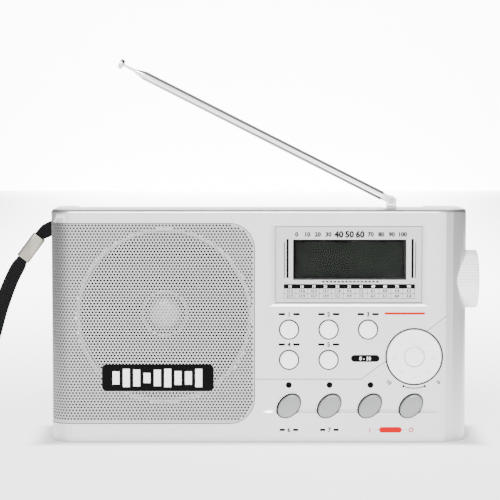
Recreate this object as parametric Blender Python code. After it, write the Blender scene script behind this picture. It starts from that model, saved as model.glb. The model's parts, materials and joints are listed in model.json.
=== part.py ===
"""Portable shortwave receiver as an assembly of separate pieces.

Frame: the origin is the centre of the flat base, +X to the right, +Y to the back
(the front faces -Y) and +Z up. All sizes below are millimetres; make() turns them
into metres. Every piece is one closed solid in an object of its own, and a piece
that moves has its origin on the axis of its joint.
"""

from math import atan2, cos, hypot, pi, radians, sin

import bmesh
import bpy
from mathutils import Matrix, Vector

MM = 0.001
GAP = 0.3  # clearance between two pieces that touch

# Case
WIDTH, DEPTH, HEIGHT = 206.0, 46.0, 115.0
WALL = 2.5
CORNER_FRONT_LEFT, CORNER_FRONT_RIGHT, CORNER_REAR = 11.0, 15.0, 7.0
TOP_ROUND, BOTTOM_ROUND = 1.5, 0.8
PARTING_Y = -3.0
LEFT, RIGHT = -WIDTH / 2, WIDTH / 2
FRONT, REAR = -DEPTH / 2, DEPTH / 2
INNER_FRONT, INNER_REAR = FRONT + WALL, REAR - WALL

# Speaker grille: a perforated sheet that wraps round the left front corner
GRILLE_EDGE_X = -2.13
GRILLE_TOP, GRILLE_BOTTOM = HEIGHT - 6.35, 9.21
GRILLE_CORNER = 12.5
GRILLE_SIDE_Y = FRONT + CORNER_FRONT_LEFT + 4.0
GRILLE_RECESS, GRILLE_SHEET = 1.0, 0.6

# Speaker
SPEAKER_X, SPEAKER_Z = -47.0, 62.8
SPEAKER_OPENING, SPEAKER_FLANGE = 43.0, 45.6
MAGNET_RADIUS, MAGNET_LENGTH = 18.0, 10.0
BASKET_DEPTH = 16.0
CONE_RADIUS, CONE_NECK = 39.5, 10.5
DUST_CAP_RADIUS = 11.5

# Display
PANEL_X0, PANEL_X1, PANEL_Z0, PANEL_Z1 = 8.0, 80.2, 69.1, 106.9
SLOPE_SIDE, SLOPE_TOP, SLOPE_BOTTOM = 4.3, 1.5, 2.3
PANEL_DEPTH, PANEL_THICK, PANEL_LIP = 1.7, 1.6, 1.8
WINDOW_X0, WINDOW_X1, WINDOW_Z0, WINDOW_Z1 = 17.2, 71.8, 81.1, 99.8
WINDOW_THICK = 1.0
LCD_MARGIN, LCD_THICK = 2.5, 3.6

# Keys
KEY_COLUMNS = (14.7, 34.2, 53.6)
KEY_ROW_UPPER, KEY_ROW_LOWER = 56.1, 41.1
KEY_RADIUS, KEY_PROUD, KEY_TRAVEL = 4.5, 1.0, 0.8
OVAL_COLUMNS = (14.7, 34.65, 54.7, 75.0)
OVAL_Z, OVAL_LONG, OVAL_SHORT, OVAL_LEAN = 18.2, 6.6, 4.65, radians(47)
OVAL_PROUD, OVAL_TRAVEL, OVAL_COLLAR, OVAL_COLLAR_PROUD = 2.0, 1.5, 0.7, 0.5
KEY_LIP, KEY_LIP_THICK = 1.1, 1.0
LED_COLUMNS, LED_Z, LED_RADIUS, LED_PROUD = (14.6, 34.7, 54.9), 28.6, 1.2, 0.2

# Volume dial
DIAL_X, DIAL_Z, DIAL_RADIUS, DIAL_GAP, DIAL_PROUD = 76.4, 42.65, 13.5, 0.6, 0.9
DIAL_STEM, DIAL_CAP_RADIUS, DIAL_CAP_DEPTH = 3.0, 4.8, 1.2
POT_SIDE, POT_THICK = 17.0, 5.0

# Main board
BOARD_Y, BOARD_THICK = -9.0, 1.6
BOARD_X0, BOARD_X1, BOARD_Z0, BOARD_Z1 = 4.0, 88.0, 9.0, 64.0
SWITCH_SIDE, SWITCH_TALL, PLUNGER_RADIUS = 6.0, 3.5, 1.7
POST_RADIUS = 2.0
BOARD_POSTS = ((24.6, 29.0), (64.8, 27.0), (86.0, 61.0))

# Tuning knob, its shaft and the gear on the tuning capacitor
KNOB_Y, KNOB_Z, KNOB_RADIUS = -4.5, 79.7, 14.4
KNOB_X0, KNOB_PROUD = 97.5, 5.8
KNOB_GAP, POCKET_WALL = 0.5, 2.0
SHAFT_RADIUS, SHAFT_X0 = 2.2, 79.0
GEAR_MODULE, PINION_TEETH, GEAR_TEETH, BACKLASH = 0.6, 12, 36, 0.12
GEAR_PRESSURE = radians(25)
GEAR_X0, GEAR_WIDTH = 82.0, 3.0
CAPACITOR_ANGLE = radians(-40.2)  # from the knob's axis to the capacitor's, about X
CAPACITOR_SIZE, CAPACITOR_LENGTH = 15.0, 17.0
SPINDLE_RADIUS = 2.0
TUNER_THICK, TUNER_X0, TUNER_X1, TUNER_Z0, TUNER_Z1 = 1.6, 22.0, 81.0, 60.0, 98.0

# Band switch on the right side
SLIDER_Y, SLIDER_Z, SLIDER_TRAVEL = 6.0, 27.0, 4.0
SLIDER_HALF_Y, SLIDER_HALF_Z, SLIDER_PROUD = 1.2, 1.5, 1.1
BAND_BODY = (8.0, 8.0, 18.0)

# Antenna
MAST_X, MAST_Y, MAST_RISE = 67.4, 16.5, 2.9
MAST_LEAN = radians(26.8)
NOTCH_X0, NOTCH_X1, NOTCH_Y, NOTCH_DEEP, NOTCH_FLOOR = -92.0, 84.0, 10.8, 3.2, 2.4
TURRET_RADIUS, TURRET_DISC, STEM_RADIUS = 4.5, 0.8, 1.8
EAR_THICK, EAR_HALF, TONGUE_THICK, PIN_RADIUS = 1.1, 2.5, 2.4, 0.8
TONGUE_BACK, TONGUE_HALF = 2.1, 1.9
TUBE_RADII, TUBE_WALL = (2.3, 1.9, 1.5, 1.1), 0.2
TUBE_START, TUBE_LENGTH, TUBE_STEP = 5.2, 136.0, 1.6
ROD_RADIUS, TIP_DISTANCE, TIP_RADIUS, TIP_LENGTH = 0.7, 153.2, 2.6, 2.4
PIVOT_Z = HEIGHT + MAST_RISE

# Battery bay
CELL_RADIUS, CELL_LENGTH, CELL_NUB, CELL_COUNT = 7.1, 50.0, 1.0, 3
BAY_X0, BAY_LENGTH, BAY_Z0, BAY_WALL = 20.0, 57.0, 9.0, 1.6
CELL_SPACE, CONTACT_THICK = 0.4, 0.6
DOOR_LIP, DOOR_PIVOT, DOOR_PIN = 0.5, 1.2, 0.7

# Ferrite aerial
FERRITE_RADIUS, FERRITE_X0, FERRITE_LENGTH = 4.5, -62.0, 110.0
FERRITE_Y, FERRITE_Z = 6.0, 103.5
COIL_RADIUS, COIL_X0, COIL_LENGTH = 6.2, -20.0, 26.0

# Sockets on the left side
JACK_Y, JACK_Z, JACK_RADIUS, JACK_BORE = 6.0, 42.0, 3.4, 1.75
DC_Y, DC_Z, DC_RADIUS, DC_BORE = 6.0, 25.0, 4.2, 2.8
SOCKET_SIDE, SOCKET_LENGTH = 10.0, 13.0

# Case screws, from the rear into posts of the front shell
SCREW_PLACES = ((-96.0, 9.5), (-92.0, 92.0), (93.0, 9.5), (88.0, 101.0))
SCREW_RADIUS, SCREW_HEAD, SCREW_HEAD_THICK, SCREW_SINK = 1.3, 2.6, 1.6, 6.0
SCREW_POST = 4.0

# Wrist strap: its middle route, from the pin to the loop's lowest point, as the distance from
# the case's left side and the height
STRAP_PIN_X, STRAP_Y, STRAP_PIN_RADIUS, STRAP_PIN_WALL = LEFT + 3.7, 9.0, 1.2, 2.0
STRAP_POCKET_HALF_Y, STRAP_POCKET_Z0, STRAP_POCKET_Z1, STRAP_POCKET_DEEP = 4.5, 97.5, 110.6, 9.1
STRAP_ROUTE = ((5.2, 106.4), (1.4, 105.6), (-2.4, 104.1), (-5.5, 102.3), (-8.2, 99.9),
               (-12.3, 94.4), (-16.7, 88.5), (-22.2, 78.6), (-27.5, 65.0), (-31.4, 52.0),
               (-35.0, 38.5), (-38.0, 25.0), (-40.2, 13.5), (-41.9, 4.8))
STRAP_CRIMP_KNOT, STRAP_STEPS = 5, 4
STRAP_WIDTH, STRAP_THICK, STRAP_PINCHED = 7.0, 1.2, 5.4
STRAP_OPEN = 6.5  # half the distance between the two runs near the loop's end
CRIMP_LENGTH, CRIMP_WALL = 14.0, 0.4


# ---------------------------------------------------------------- outlines

def arc(centre, radius, start, end, steps):
    """Points on an arc, its two ends included."""
    return [(centre[0] + radius * cos(start + (end - start) * i / steps),
             centre[1] + radius * sin(start + (end - start) * i / steps))
            for i in range(steps + 1)]


def circle(centre, radius, steps=32):
    return arc(centre, radius, 0, 2 * pi * (steps - 1) / steps, steps - 1)


def ellipse(centre, long, short, lean, steps=24):
    """An ellipse whose long axis leans from the horizontal by an angle."""
    points = []
    for i in range(steps):
        u, v = long * cos(2 * pi * i / steps), short * sin(2 * pi * i / steps)
        points.append((centre[0] + u * cos(lean) - v * sin(lean),
                       centre[1] + u * sin(lean) + v * cos(lean)))
    return points


def rectangle(x0, x1, z0, z1):
    return [(x0, z0), (x1, z0), (x1, z1), (x0, z1)]


def case_plan(inset=0.0):
    """The case seen from above, drawn in by a distance, with its four upright corners round."""
    points = []
    for x, y, radius, start in (
            (RIGHT, FRONT, CORNER_FRONT_RIGHT, -pi / 2), (RIGHT, REAR, CORNER_REAR, 0),
            (LEFT, REAR, CORNER_REAR, pi / 2), (LEFT, FRONT, CORNER_FRONT_LEFT, pi)):
        centre = (x - radius if x > 0 else x + radius, y - radius if y > 0 else y + radius)
        points += arc(centre, max(radius - inset, 0.2), start, start + pi / 2, 6)
    return points


def gear_outline(centre, teeth, turn):
    """An involute gear in the Y-Z plane, one tooth pointing along the angle given."""
    pitch = GEAR_MODULE * teeth / 2
    base, tip, root = pitch * cos(GEAR_PRESSURE), pitch + GEAR_MODULE, pitch - 1.25 * GEAR_MODULE
    roll = sin(GEAR_PRESSURE) / cos(GEAR_PRESSURE) - GEAR_PRESSURE
    half = pi / (2 * teeth) - BACKLASH / (4 * pitch) + roll
    points = []
    for tooth in range(teeth):
        middle = turn + 2 * pi * tooth / teeth
        flank = [(root, half)]
        for i in range(3):
            radius = max(base, root) + (tip - max(base, root)) * i / 2
            lean = (max((radius / base) ** 2 - 1, 0)) ** 0.5
            flank.append((radius, half - (lean - atan2(lean, 1))))
        sides = [(r, -a) for r, a in flank] + [(r, a) for r, a in reversed(flank)]
        points += [(centre[0] + r * cos(middle + a), centre[1] + r * sin(middle + a))
                   for r, a in sides]
    return points


# ---------------------------------------------------------------- solids

LOOKS = {
    "silver": ((0.62, 0.62, 0.63), 0.35, 0.3), "white": ((0.85, 0.85, 0.85), 0.4, 0.0),
    "grey": ((0.5, 0.51, 0.52), 0.4, 0.0), "black": ((0.02, 0.02, 0.02), 0.5, 0.0),
    "chrome": ((0.8, 0.8, 0.82), 0.1, 1.0), "steel": ((0.6, 0.6, 0.6), 0.35, 1.0),
    "mesh_silver": ((0.75, 0.75, 0.76), 0.4, 0.6), "board": ((0.05, 0.2, 0.1), 0.6, 0.0),
    "clear": ((0.05, 0.06, 0.06), 0.05, 0.0), "paper": ((0.1, 0.1, 0.1), 0.9, 0.0),
    "copper": ((0.6, 0.3, 0.15), 0.4, 1.0), "cell": ((0.75, 0.6, 0.2), 0.4, 0.2),
    "cloth": ((0.01, 0.01, 0.01), 0.9, 0.0), "brass": ((0.7, 0.55, 0.3), 0.3, 1.0),
}


def look_of(name, look):
    """A Principled material of the object's own."""
    colour, roughness, metallic = LOOKS[look]
    material = bpy.data.materials.new(name + "_finish")
    material.use_nodes = True
    shader = material.node_tree.nodes["Principled BSDF"]
    shader.inputs["Base Color"].default_value = (*colour, 1.0)
    shader.inputs["Roughness"].default_value = roughness
    shader.inputs["Metallic"].default_value = metallic
    return material


def make(name, rings, look=None, pivot=(0, 0, 0), closed=False):
    """An object whose surface joins a row of rings. Its ends are capped, or the last ring
    meets the first when closed. A ring of one point is a pole."""
    bm = bmesh.new()
    origin = Vector(pivot)
    rows = [[bm.verts.new((Vector(p) - origin) * MM) for p in ring] for ring in rings]
    count = max(len(row) for row in rows)
    pairs = list(zip(rows, rows[1:])) + ([(rows[-1], rows[0])] if closed else [])
    for first, second in pairs:
        for i in range(count):
            j = (i + 1) % count
            if len(first) == 1:
                bm.faces.new((first[0], second[i], second[j]))
            elif len(second) == 1:
                bm.faces.new((first[i], first[j], second[0]))
            else:
                bm.faces.new((first[i], first[j], second[j], second[i]))
    if not closed:
        for row in (rows[0], rows[-1]):
            if len(row) > 2:
                bm.faces.new(row)
    bmesh.ops.recalc_face_normals(bm, faces=bm.faces)
    mesh = bpy.data.meshes.new(name)
    bm.to_mesh(mesh)
    bm.free()
    mesh.shade_smooth()
    mesh.set_sharp_from_angle(angle=radians(35))
    piece = bpy.data.objects.new(name, mesh)
    piece.location = origin * MM
    bpy.context.scene.collection.objects.link(piece)
    if look:
        mesh.materials.append(look_of(name, look))
    else:
        piece.hide_render = True
        piece.display_type = "WIRE"
    return piece


def along_y(name, layers, look=None, pivot=(0, 0, 0)):
    """Outlines in the X-Z plane, each at its own Y, joined in a row."""
    return make(name, [[(x, y, z) for x, z in outline] for y, outline in layers], look, pivot)


def along_x(name, layers, look=None, pivot=(0, 0, 0)):
    """Outlines in the Y-Z plane, each at its own X, joined in a row."""
    return make(name, [[(x, y, z) for y, z in outline] for x, outline in layers], look, pivot)


def along_z(name, layers, look=None, pivot=(0, 0, 0)):
    """Outlines in the X-Y plane, each at its own Z, joined in a row."""
    return make(name, [[(x, y, z) for x, y in outline] for z, outline in layers], look, pivot)


def block(name, low, high, look=None, pivot=(0, 0, 0)):
    """A box between two corners."""
    outline = rectangle(low[0], high[0], low[2], high[2])
    return along_y(name, [(low[1], outline), (high[1], outline)], look, pivot)


def turned(name, profile, centre, axis, look=None, pivot=None, steps=32, closed=False):
    """A profile of (radius, distance along the axis) turned about it. A radius of 0 is a pole."""
    axis = Vector(axis).normalized()
    side = axis.orthogonal().normalized()
    other = axis.cross(side)
    centre = Vector(centre)
    rings = []
    for radius, distance in profile:
        middle = centre + axis * distance
        if radius == 0:
            rings.append([middle])
            continue
        rings.append([middle + (side * cos(a) + other * sin(a)) * radius
                      for a in (2 * pi * i / steps for i in range(steps))])
    return make(name, rings, look, centre if pivot is None else pivot, closed)


def tube(name, outer, inner, start, end, centre, axis, look, steps=16):
    """A plain tube open at both ends."""
    profile = [(outer, start), (outer, end), (inner, end), (inner, start)]
    return turned(name, profile, centre, axis, look, steps=steps, closed=True)


def shaped(target, operation, tools):
    """Boolean modifiers on the target, one for each tool."""
    for tool in tools:
        modifier = target.modifiers.new(tool.name, "BOOLEAN")
        modifier.operation = operation
        modifier.solver = "EXACT"
        modifier.object = tool
        tool.hide_render = True
        tool.display_type = "WIRE"
    return target


def cut(target, *tools):
    return shaped(target, "DIFFERENCE", tools)


def add(target, *tools):
    return shaped(target, "UNION", tools)


def keep(target, *tools):
    return shaped(target, "INTERSECT", tools)


def carry(centre, *pieces):
    """Parent pieces that move together to an empty on their joint's axis."""
    frame = bpy.data.objects.new(pieces[0].name + "_axis", None)
    frame.location = Vector(centre) * MM
    bpy.context.scene.collection.objects.link(frame)
    for piece in pieces:
        piece.parent = frame
        piece.matrix_parent_inverse = Matrix.Translation(-frame.location)


# ---------------------------------------------------------------- case

def case_solid(name, inset, look=None):
    """The whole case as one solid, its walls drawn in by a distance."""
    low, high = inset, HEIGHT - inset
    if inset:
        return along_z(name, [(low, case_plan(inset)), (high, case_plan(inset))], look)
    rows = []
    for i in range(4):
        angle = pi / 2 * i / 3
        rows.append((low + BOTTOM_ROUND * (1 - sin(angle)), BOTTOM_ROUND * (1 - cos(angle))))
    rows = sorted(rows)
    for i in range(5):
        angle = pi / 2 * i / 4
        rows.append((high - TOP_ROUND * (1 - sin(angle)), TOP_ROUND * (1 - cos(angle))))
    return along_z(name, [(z, case_plan(drawn)) for z, drawn in rows], look)


def wrapped_sheet(name, outer, inner, edge_x, side_y, low, high, corner, look=None):
    """A sheet that follows the case's front from an edge, round the left corner, to a place
    on the side. Its faces lie at two distances inside the case, and the two corners at its
    free edge are round."""
    centre = (LEFT + CORNER_FRONT_LEFT, FRONT + CORNER_FRONT_LEFT)

    def trace(inset):
        return [(edge_x, FRONT + inset), *arc(centre, CORNER_FRONT_LEFT - inset, -pi / 2, -pi, 8),
                (LEFT + inset, side_y)]
    outline = trace(outer) + list(reversed(trace(inner)))
    sheet = along_z(name, [(low, outline), (high, outline)], look)
    far = LEFT - 10
    rounded = [(far, low), *arc((edge_x - corner, low + corner), corner, -pi / 2, 0, 8),
               *arc((edge_x - corner, high - corner), corner, 0, pi / 2, 8), (far, high)]
    region = along_y(name + "_corners", [(FRONT - 5, rounded), (side_y + 5, rounded)])
    return keep(sheet, region)


def pocket_round_knob(name):
    """The housing of the knob's pocket, as far as it lies inside the case."""
    radius = KNOB_RADIUS + KNOB_GAP + POCKET_WALL
    solid = turned(name, [(radius, 0), (radius, RIGHT - pocket_floor() + POCKET_WALL)],
                   (pocket_floor() - POCKET_WALL, KNOB_Y, KNOB_Z), (1, 0, 0), steps=40)
    return keep(solid, case_solid(name + "_limit", 0))


def pocket_floor():
    return KNOB_X0 - 1.0


def knob_cutters(name):
    """What the knob and its shaft take out of both shells."""
    radius = KNOB_RADIUS + KNOB_GAP
    pocket = turned(name + "_knob_pocket", [(radius, 0), (radius, 30)],
                    (pocket_floor(), KNOB_Y, KNOB_Z), (1, 0, 0), steps=40)
    hole = turned(name + "_shaft_hole", [(SHAFT_RADIUS + GAP, 0), (SHAFT_RADIUS + GAP, 20)],
                  (pocket_floor() - 10, KNOB_Y, KNOB_Z), (1, 0, 0), steps=24)
    return pocket, hole


def half_space(name, y0, y1):
    return block(name, (LEFT - 20, y0, -20), (RIGHT + 20, y1, HEIGHT + 20))


def front_shell():
    """The fascia half of the case, with every opening of the front in it."""
    shell = case_solid("front_shell", 0, "silver")
    cut(shell, case_solid("front_hollow", WALL))
    add(shell, pocket_round_knob("front_pocket"))
    for number, (x, z) in enumerate(SCREW_PLACES):
        add(shell, turned(f"front_screw_post_{number}", [(SCREW_POST, 0), (SCREW_POST, DEPTH / 2)],
                          (x, front_inner(x) - 1.0, z), (0, 1, 0), steps=20))
    for number, (x, z) in enumerate(BOARD_POSTS):
        reach = BOARD_Y - GAP - (INNER_FRONT - 1.0)
        add(shell, turned(f"board_post_{number}", [(POST_RADIUS, 0), (POST_RADIUS, reach)],
                          (x, INNER_FRONT - 1.0, z), (0, 1, 0), steps=16))
    for number, x in enumerate(OVAL_COLUMNS):
        grown = GAP + 0.1 + OVAL_COLLAR
        outline = ellipse((x, OVAL_Z), OVAL_LONG + grown, OVAL_SHORT + grown, OVAL_LEAN)
        add(shell, along_y(f"collar_{number}", [(FRONT - OVAL_COLLAR_PROUD, outline),
                                                (FRONT + 1.0, outline)]))
    keep(shell, half_space("front_half", FRONT - 20, PARTING_Y - GAP / 2))
    cut(shell, *knob_cutters("front"), *front_openings())
    for number, (x, z) in enumerate(SCREW_PLACES):
        cut(shell, turned(f"front_pilot_{number}", [(SCREW_RADIUS + GAP, 0), (SCREW_RADIUS + GAP, 40)],
                          (x, screw_tip() - GAP, z), (0, 1, 0), steps=16))
    return shell


def front_inner(x):
    """The Y of the front wall's inner face at an X, round the upright corners too."""
    for centre_x, radius, away in ((RIGHT - CORNER_FRONT_RIGHT, CORNER_FRONT_RIGHT, 1),
                                   (LEFT + CORNER_FRONT_LEFT, CORNER_FRONT_LEFT, -1)):
        past = (x - centre_x) * away
        if past > 0:
            inner = radius - WALL
            return FRONT + radius - max(inner ** 2 - min(past + 2, inner) ** 2, 0) ** 0.5
    return INNER_FRONT


def front_openings():
    """Cutters for the grille's recess, the speaker, the display, the keys and the dial."""
    tools = [wrapped_sheet("grille_recess", -5.0, GRILLE_RECESS, GRILLE_EDGE_X, GRILLE_SIDE_Y,
                           GRILLE_BOTTOM, GRILLE_TOP, GRILLE_CORNER),
             turned("speaker_hole", [(SPEAKER_OPENING, 0), (SPEAKER_OPENING, 10)],
                    (SPEAKER_X, FRONT - 3, SPEAKER_Z), (0, 1, 0), steps=48)]
    wide = rectangle(PANEL_X0 - SLOPE_SIDE, PANEL_X1 + SLOPE_SIDE,
                     PANEL_Z0 - SLOPE_BOTTOM, PANEL_Z1 + SLOPE_TOP)
    narrow = rectangle(PANEL_X0, PANEL_X1, PANEL_Z0, PANEL_Z1)
    tools.append(along_y("display_recess", [(FRONT - 1, wide), (FRONT, wide),
                                            (FRONT + PANEL_DEPTH, narrow), (FRONT + 8, narrow)]))
    for number, (x, z) in enumerate(round_key_places()):
        tools.append(turned(f"key_hole_{number}", [(KEY_RADIUS + GAP + 0.1, 0),
                                                   (KEY_RADIUS + GAP + 0.1, 8)],
                            (x, FRONT - 2, z), (0, 1, 0), steps=20))
    for number, x in enumerate(OVAL_COLUMNS):
        outline = ellipse((x, OVAL_Z), OVAL_LONG + GAP + 0.1, OVAL_SHORT + GAP + 0.1, OVAL_LEAN)
        tools.append(along_y(f"oval_hole_{number}", [(FRONT - 2, outline), (FRONT + 6, outline)]))
    for number, x in enumerate(LED_COLUMNS):
        tools.append(turned(f"led_hole_{number}", [(LED_RADIUS + GAP, 0), (LED_RADIUS + GAP, 6)],
                            (x, FRONT - 1, LED_Z), (0, 1, 0), steps=16))
    tools.append(turned("dial_hole", [(DIAL_RADIUS + DIAL_GAP, 0), (DIAL_RADIUS + DIAL_GAP, 6)],
                        (DIAL_X, FRONT - 1, DIAL_Z), (0, 1, 0), steps=40))
    return tools


def round_key_places():
    upper = [(x, KEY_ROW_UPPER) for x in KEY_COLUMNS]
    return upper + [(x, KEY_ROW_LOWER) for x in KEY_COLUMNS[:2]]


def notch_floor():
    return HEIGHT - NOTCH_DEEP


def bay_low():
    return BAY_Z0


def bay_high():
    return BAY_Z0 + CELL_COUNT * (2 * CELL_RADIUS + CELL_SPACE) + CELL_SPACE


def bay_front():
    return INNER_REAR - 2 * CELL_RADIUS - 2 * CELL_SPACE


def rear_shell():
    """The rear half: antenna notch, battery bay, strap pocket, sockets and screw columns."""
    shell = case_solid("rear_shell", 0, "silver")
    cut(shell, case_solid("rear_hollow", WALL))
    lining = [
        block("notch_lining", (NOTCH_X0 - 2, NOTCH_Y - 2, notch_floor() - NOTCH_FLOOR),
              (NOTCH_X1 + 2, REAR - 0.5, HEIGHT - 1.0)),
        block("bay_lining", (BAY_X0 - BAY_WALL, bay_front() - BAY_WALL, bay_low() - BAY_WALL),
              (BAY_X0 + BAY_LENGTH + BAY_WALL, INNER_REAR + 1, bay_high() + BAY_WALL)),
        block("strap_lining", (LEFT + 1, STRAP_Y - STRAP_POCKET_HALF_Y - 2, STRAP_POCKET_Z0 - 3),
              (LEFT + STRAP_POCKET_DEEP + 2, STRAP_Y + STRAP_POCKET_HALF_Y + 2, HEIGHT - 1.0)),
        pocket_round_knob("rear_pocket"),
    ]
    for number, x in enumerate((FERRITE_X0 + 6, FERRITE_X0 + FERRITE_LENGTH - 6)):
        lining.append(block(f"ferrite_rib_{number}",
                            (x - 2, FERRITE_Y + FERRITE_RADIUS + GAP, FERRITE_Z - 2.5),
                            (x + 2, INNER_REAR + 1, FERRITE_Z + 2.5)))
    for number, (x, z) in enumerate(tuner_posts()):
        lining.append(turned(f"tuner_post_{number}",
                             [(POST_RADIUS, 0), (POST_RADIUS, INNER_REAR + 1 - tuner_rear() - GAP)],
                             (x, tuner_rear() + GAP, z), (0, 1, 0), steps=16))
    for number, (x, z) in enumerate(SCREW_PLACES):
        lining.append(turned(f"rear_screw_column_{number}", [(SCREW_POST, 0), (SCREW_POST, 40)],
                             (x, PARTING_Y - 10, z), (0, 1, 0), steps=20))
    lining.append(block("magnet_rest", (SPEAKER_X - 5, magnet_rear() + GAP, SPEAKER_Z - 5),
                        (SPEAKER_X + 5, INNER_REAR + 1, SPEAKER_Z + 5)))
    add(shell, *lining)
    keep(shell, half_space("rear_half", PARTING_Y + GAP / 2, REAR))
    keep(shell, case_solid("rear_limit", 0))
    cut(shell, *knob_cutters("rear"), *rear_openings())
    return shell


def rear_openings():
    """Cutters for the notch, the bay and its door, the strap, the sockets and the screws."""
    tools = [
        block("notch", (NOTCH_X0, NOTCH_Y, notch_floor()), (NOTCH_X1, REAR + 5, HEIGHT + 5)),
        turned("stem_hole", [(STEM_RADIUS + GAP, 0), (STEM_RADIUS + GAP, 20)],
               (MAST_X, MAST_Y, notch_floor() - 10), (0, 0, 1), steps=20),
        block("bay", (BAY_X0, bay_front(), bay_low()),
              (BAY_X0 + BAY_LENGTH, INNER_REAR + 0.4, bay_high())),
        block("door_opening", (BAY_X0 - GAP, INNER_REAR - 0.5, bay_low() - DOOR_LIP),
              (BAY_X0 + BAY_LENGTH + GAP, REAR + 5, bay_high() + GAP)),
        turned("door_pin_holes", [(DOOR_PIN + GAP, 0), (DOOR_PIN + GAP, BAY_LENGTH + 5)],
               (BAY_X0 - 2.5, door_axis()[1], door_axis()[2]), (1, 0, 0), steps=12),
        block("strap_pocket", (LEFT - 5, STRAP_Y - STRAP_POCKET_HALF_Y, STRAP_POCKET_Z0),
              (LEFT + STRAP_POCKET_DEEP, STRAP_Y + STRAP_POCKET_HALF_Y, STRAP_POCKET_Z1)),
        turned("strap_pin_hole", [(STRAP_PIN_RADIUS + GAP, -STRAP_PIN_WALL - GAP),
                                  (STRAP_PIN_RADIUS + GAP,
                                   STRAP_POCKET_Z1 - STRAP_POCKET_Z0 + STRAP_PIN_WALL + GAP)],
               (STRAP_PIN_X, STRAP_Y, STRAP_POCKET_Z0), (0, 0, 1), steps=16),
        block("slider_slot", (RIGHT - 8, SLIDER_Y - SLIDER_HALF_Y - GAP,
                              SLIDER_Z - SLIDER_HALF_Z - GAP),
              (RIGHT + 5, SLIDER_Y + SLIDER_HALF_Y + GAP,
               SLIDER_Z + SLIDER_HALF_Z + SLIDER_TRAVEL + GAP)),
    ]
    for name, y, z, radius in (("jack", JACK_Y, JACK_Z, JACK_RADIUS), ("dc", DC_Y, DC_Z, DC_RADIUS)):
        tools.append(turned(name + "_hole", [(radius + GAP, 0), (radius + GAP, 10)],
                            (LEFT - 2, y, z), (1, 0, 0), steps=24))
    for number, (x, z) in enumerate(SCREW_PLACES):
        tools.append(turned(f"screw_hole_{number}", [(SCREW_RADIUS + GAP, 0), (SCREW_RADIUS + GAP, 50)],
                            (x, PARTING_Y - 5, z), (0, 1, 0), steps=16))
        tools.append(turned(f"screw_sink_{number}", [(SCREW_HEAD + GAP, 0), (SCREW_HEAD + GAP, 20)],
                            (x, REAR - SCREW_SINK, z), (0, 1, 0), steps=20))
    return tools


def door_axis():
    return BAY_X0, REAR - WALL / 2, bay_low() + DOOR_PIVOT


def battery_door():
    """The door in the rear wall, with its two hinge pins."""
    x, y, z = door_axis()
    x1 = BAY_X0 + BAY_LENGTH
    door = block("battery_door", (x, y - 1.05, bay_low()), (x1, y + 1.05, bay_high()), "silver",
                 pivot=(x, y, z))
    return add(door, turned("door_pins", [(DOOR_PIN, -2.0), (DOOR_PIN, BAY_LENGTH + 2.0)],
                            (x, y, z), (1, 0, 0), steps=12))


def screw_tip():
    return PARTING_Y - 5.0


def case_screws():
    """Pan head screws from the rear, their heads deep in the columns' sinks."""
    for number, (x, z) in enumerate(SCREW_PLACES):
        top = REAR - SCREW_SINK + GAP
        turned(f"case_screw_{number + 1}",
               [(SCREW_RADIUS, screw_tip()), (SCREW_RADIUS, top), (SCREW_HEAD, top),
                (SCREW_HEAD, top + SCREW_HEAD_THICK * 0.6), (SCREW_HEAD * 0.6, top + SCREW_HEAD_THICK)],
               (x, 0, z), (0, 1, 0), "steel", pivot=(x, top, z), steps=16)


# ---------------------------------------------------------------- speaker

def basket_front():
    return INNER_FRONT + GAP


def magnet_rear():
    return basket_front() + BASKET_DEPTH + GAP + MAGNET_LENGTH


def speaker():
    """The grille sheet, and the speaker's basket, magnet, cone and dust cap."""
    outer = GRILLE_RECESS - GRILLE_SHEET - GAP
    wrapped_sheet("speaker_grille", outer, outer + GRILLE_SHEET, GRILLE_EDGE_X - GAP,
                  GRILLE_SIDE_Y - GAP, GRILLE_BOTTOM + GAP, GRILLE_TOP - GAP,
                  GRILLE_CORNER - GAP, "mesh_silver")
    centre = (SPEAKER_X, basket_front(), SPEAKER_Z)
    depth, skin = BASKET_DEPTH, 1.0
    basket = turned("speaker_basket", [
        (SPEAKER_FLANGE, 0), (SPEAKER_FLANGE, 1.2), (SPEAKER_OPENING, 1.2),
        (MAGNET_RADIUS + 4, depth), (CONE_NECK + 1.2, depth), (CONE_NECK + 1.2, depth - skin),
        (MAGNET_RADIUS + 3, depth - skin), (SPEAKER_OPENING - 1.2, 1.2), (SPEAKER_OPENING - 1.2, 0)],
        centre, (0, 1, 0), "steel", steps=32, closed=True)
    for i in range(4):
        angle = pi / 4 + i * pi / 2
        away = Vector((cos(angle), 0, sin(angle)))
        tool = turned(f"basket_window_{i}", [(6.5, 0), (6.5, depth - 3.5)],
                      Vector(centre) + away * 30 + Vector((0, 2.5, 0)), (0, 1, 0), steps=16)
        cut(basket, tool)
    turned("speaker_magnet", [(MAGNET_RADIUS, depth + GAP), (MAGNET_RADIUS, depth + GAP + MAGNET_LENGTH)],
           centre, (0, 1, 0), "black", steps=40)
    rim, neck, paper = CONE_RADIUS, CONE_NECK, 0.5
    turned("speaker_cone", [
        (rim + 1.8, 0.2), (rim + 1.8, 0.8), (rim, 0.9), (neck, depth - 2.2),
        (neck - paper, depth - 2.2), (neck - paper, depth - 3.2), (rim - 1.5, 0.2)],
        centre, (0, 1, 0), "paper", steps=32, closed=True)
    place = cone_depth(DUST_CAP_RADIUS) - GAP - 0.5
    dome = [(DUST_CAP_RADIUS * cos(a), place - 0.4 - 3.4 * sin(a)) for a in (0, 0.4, 0.8, 1.2)]
    turned("speaker_dust_cap", [(DUST_CAP_RADIUS - 0.6, place), *dome, (0, place - 3.8)],
           centre, (0, 1, 0), "mesh_silver", steps=32)


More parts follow.
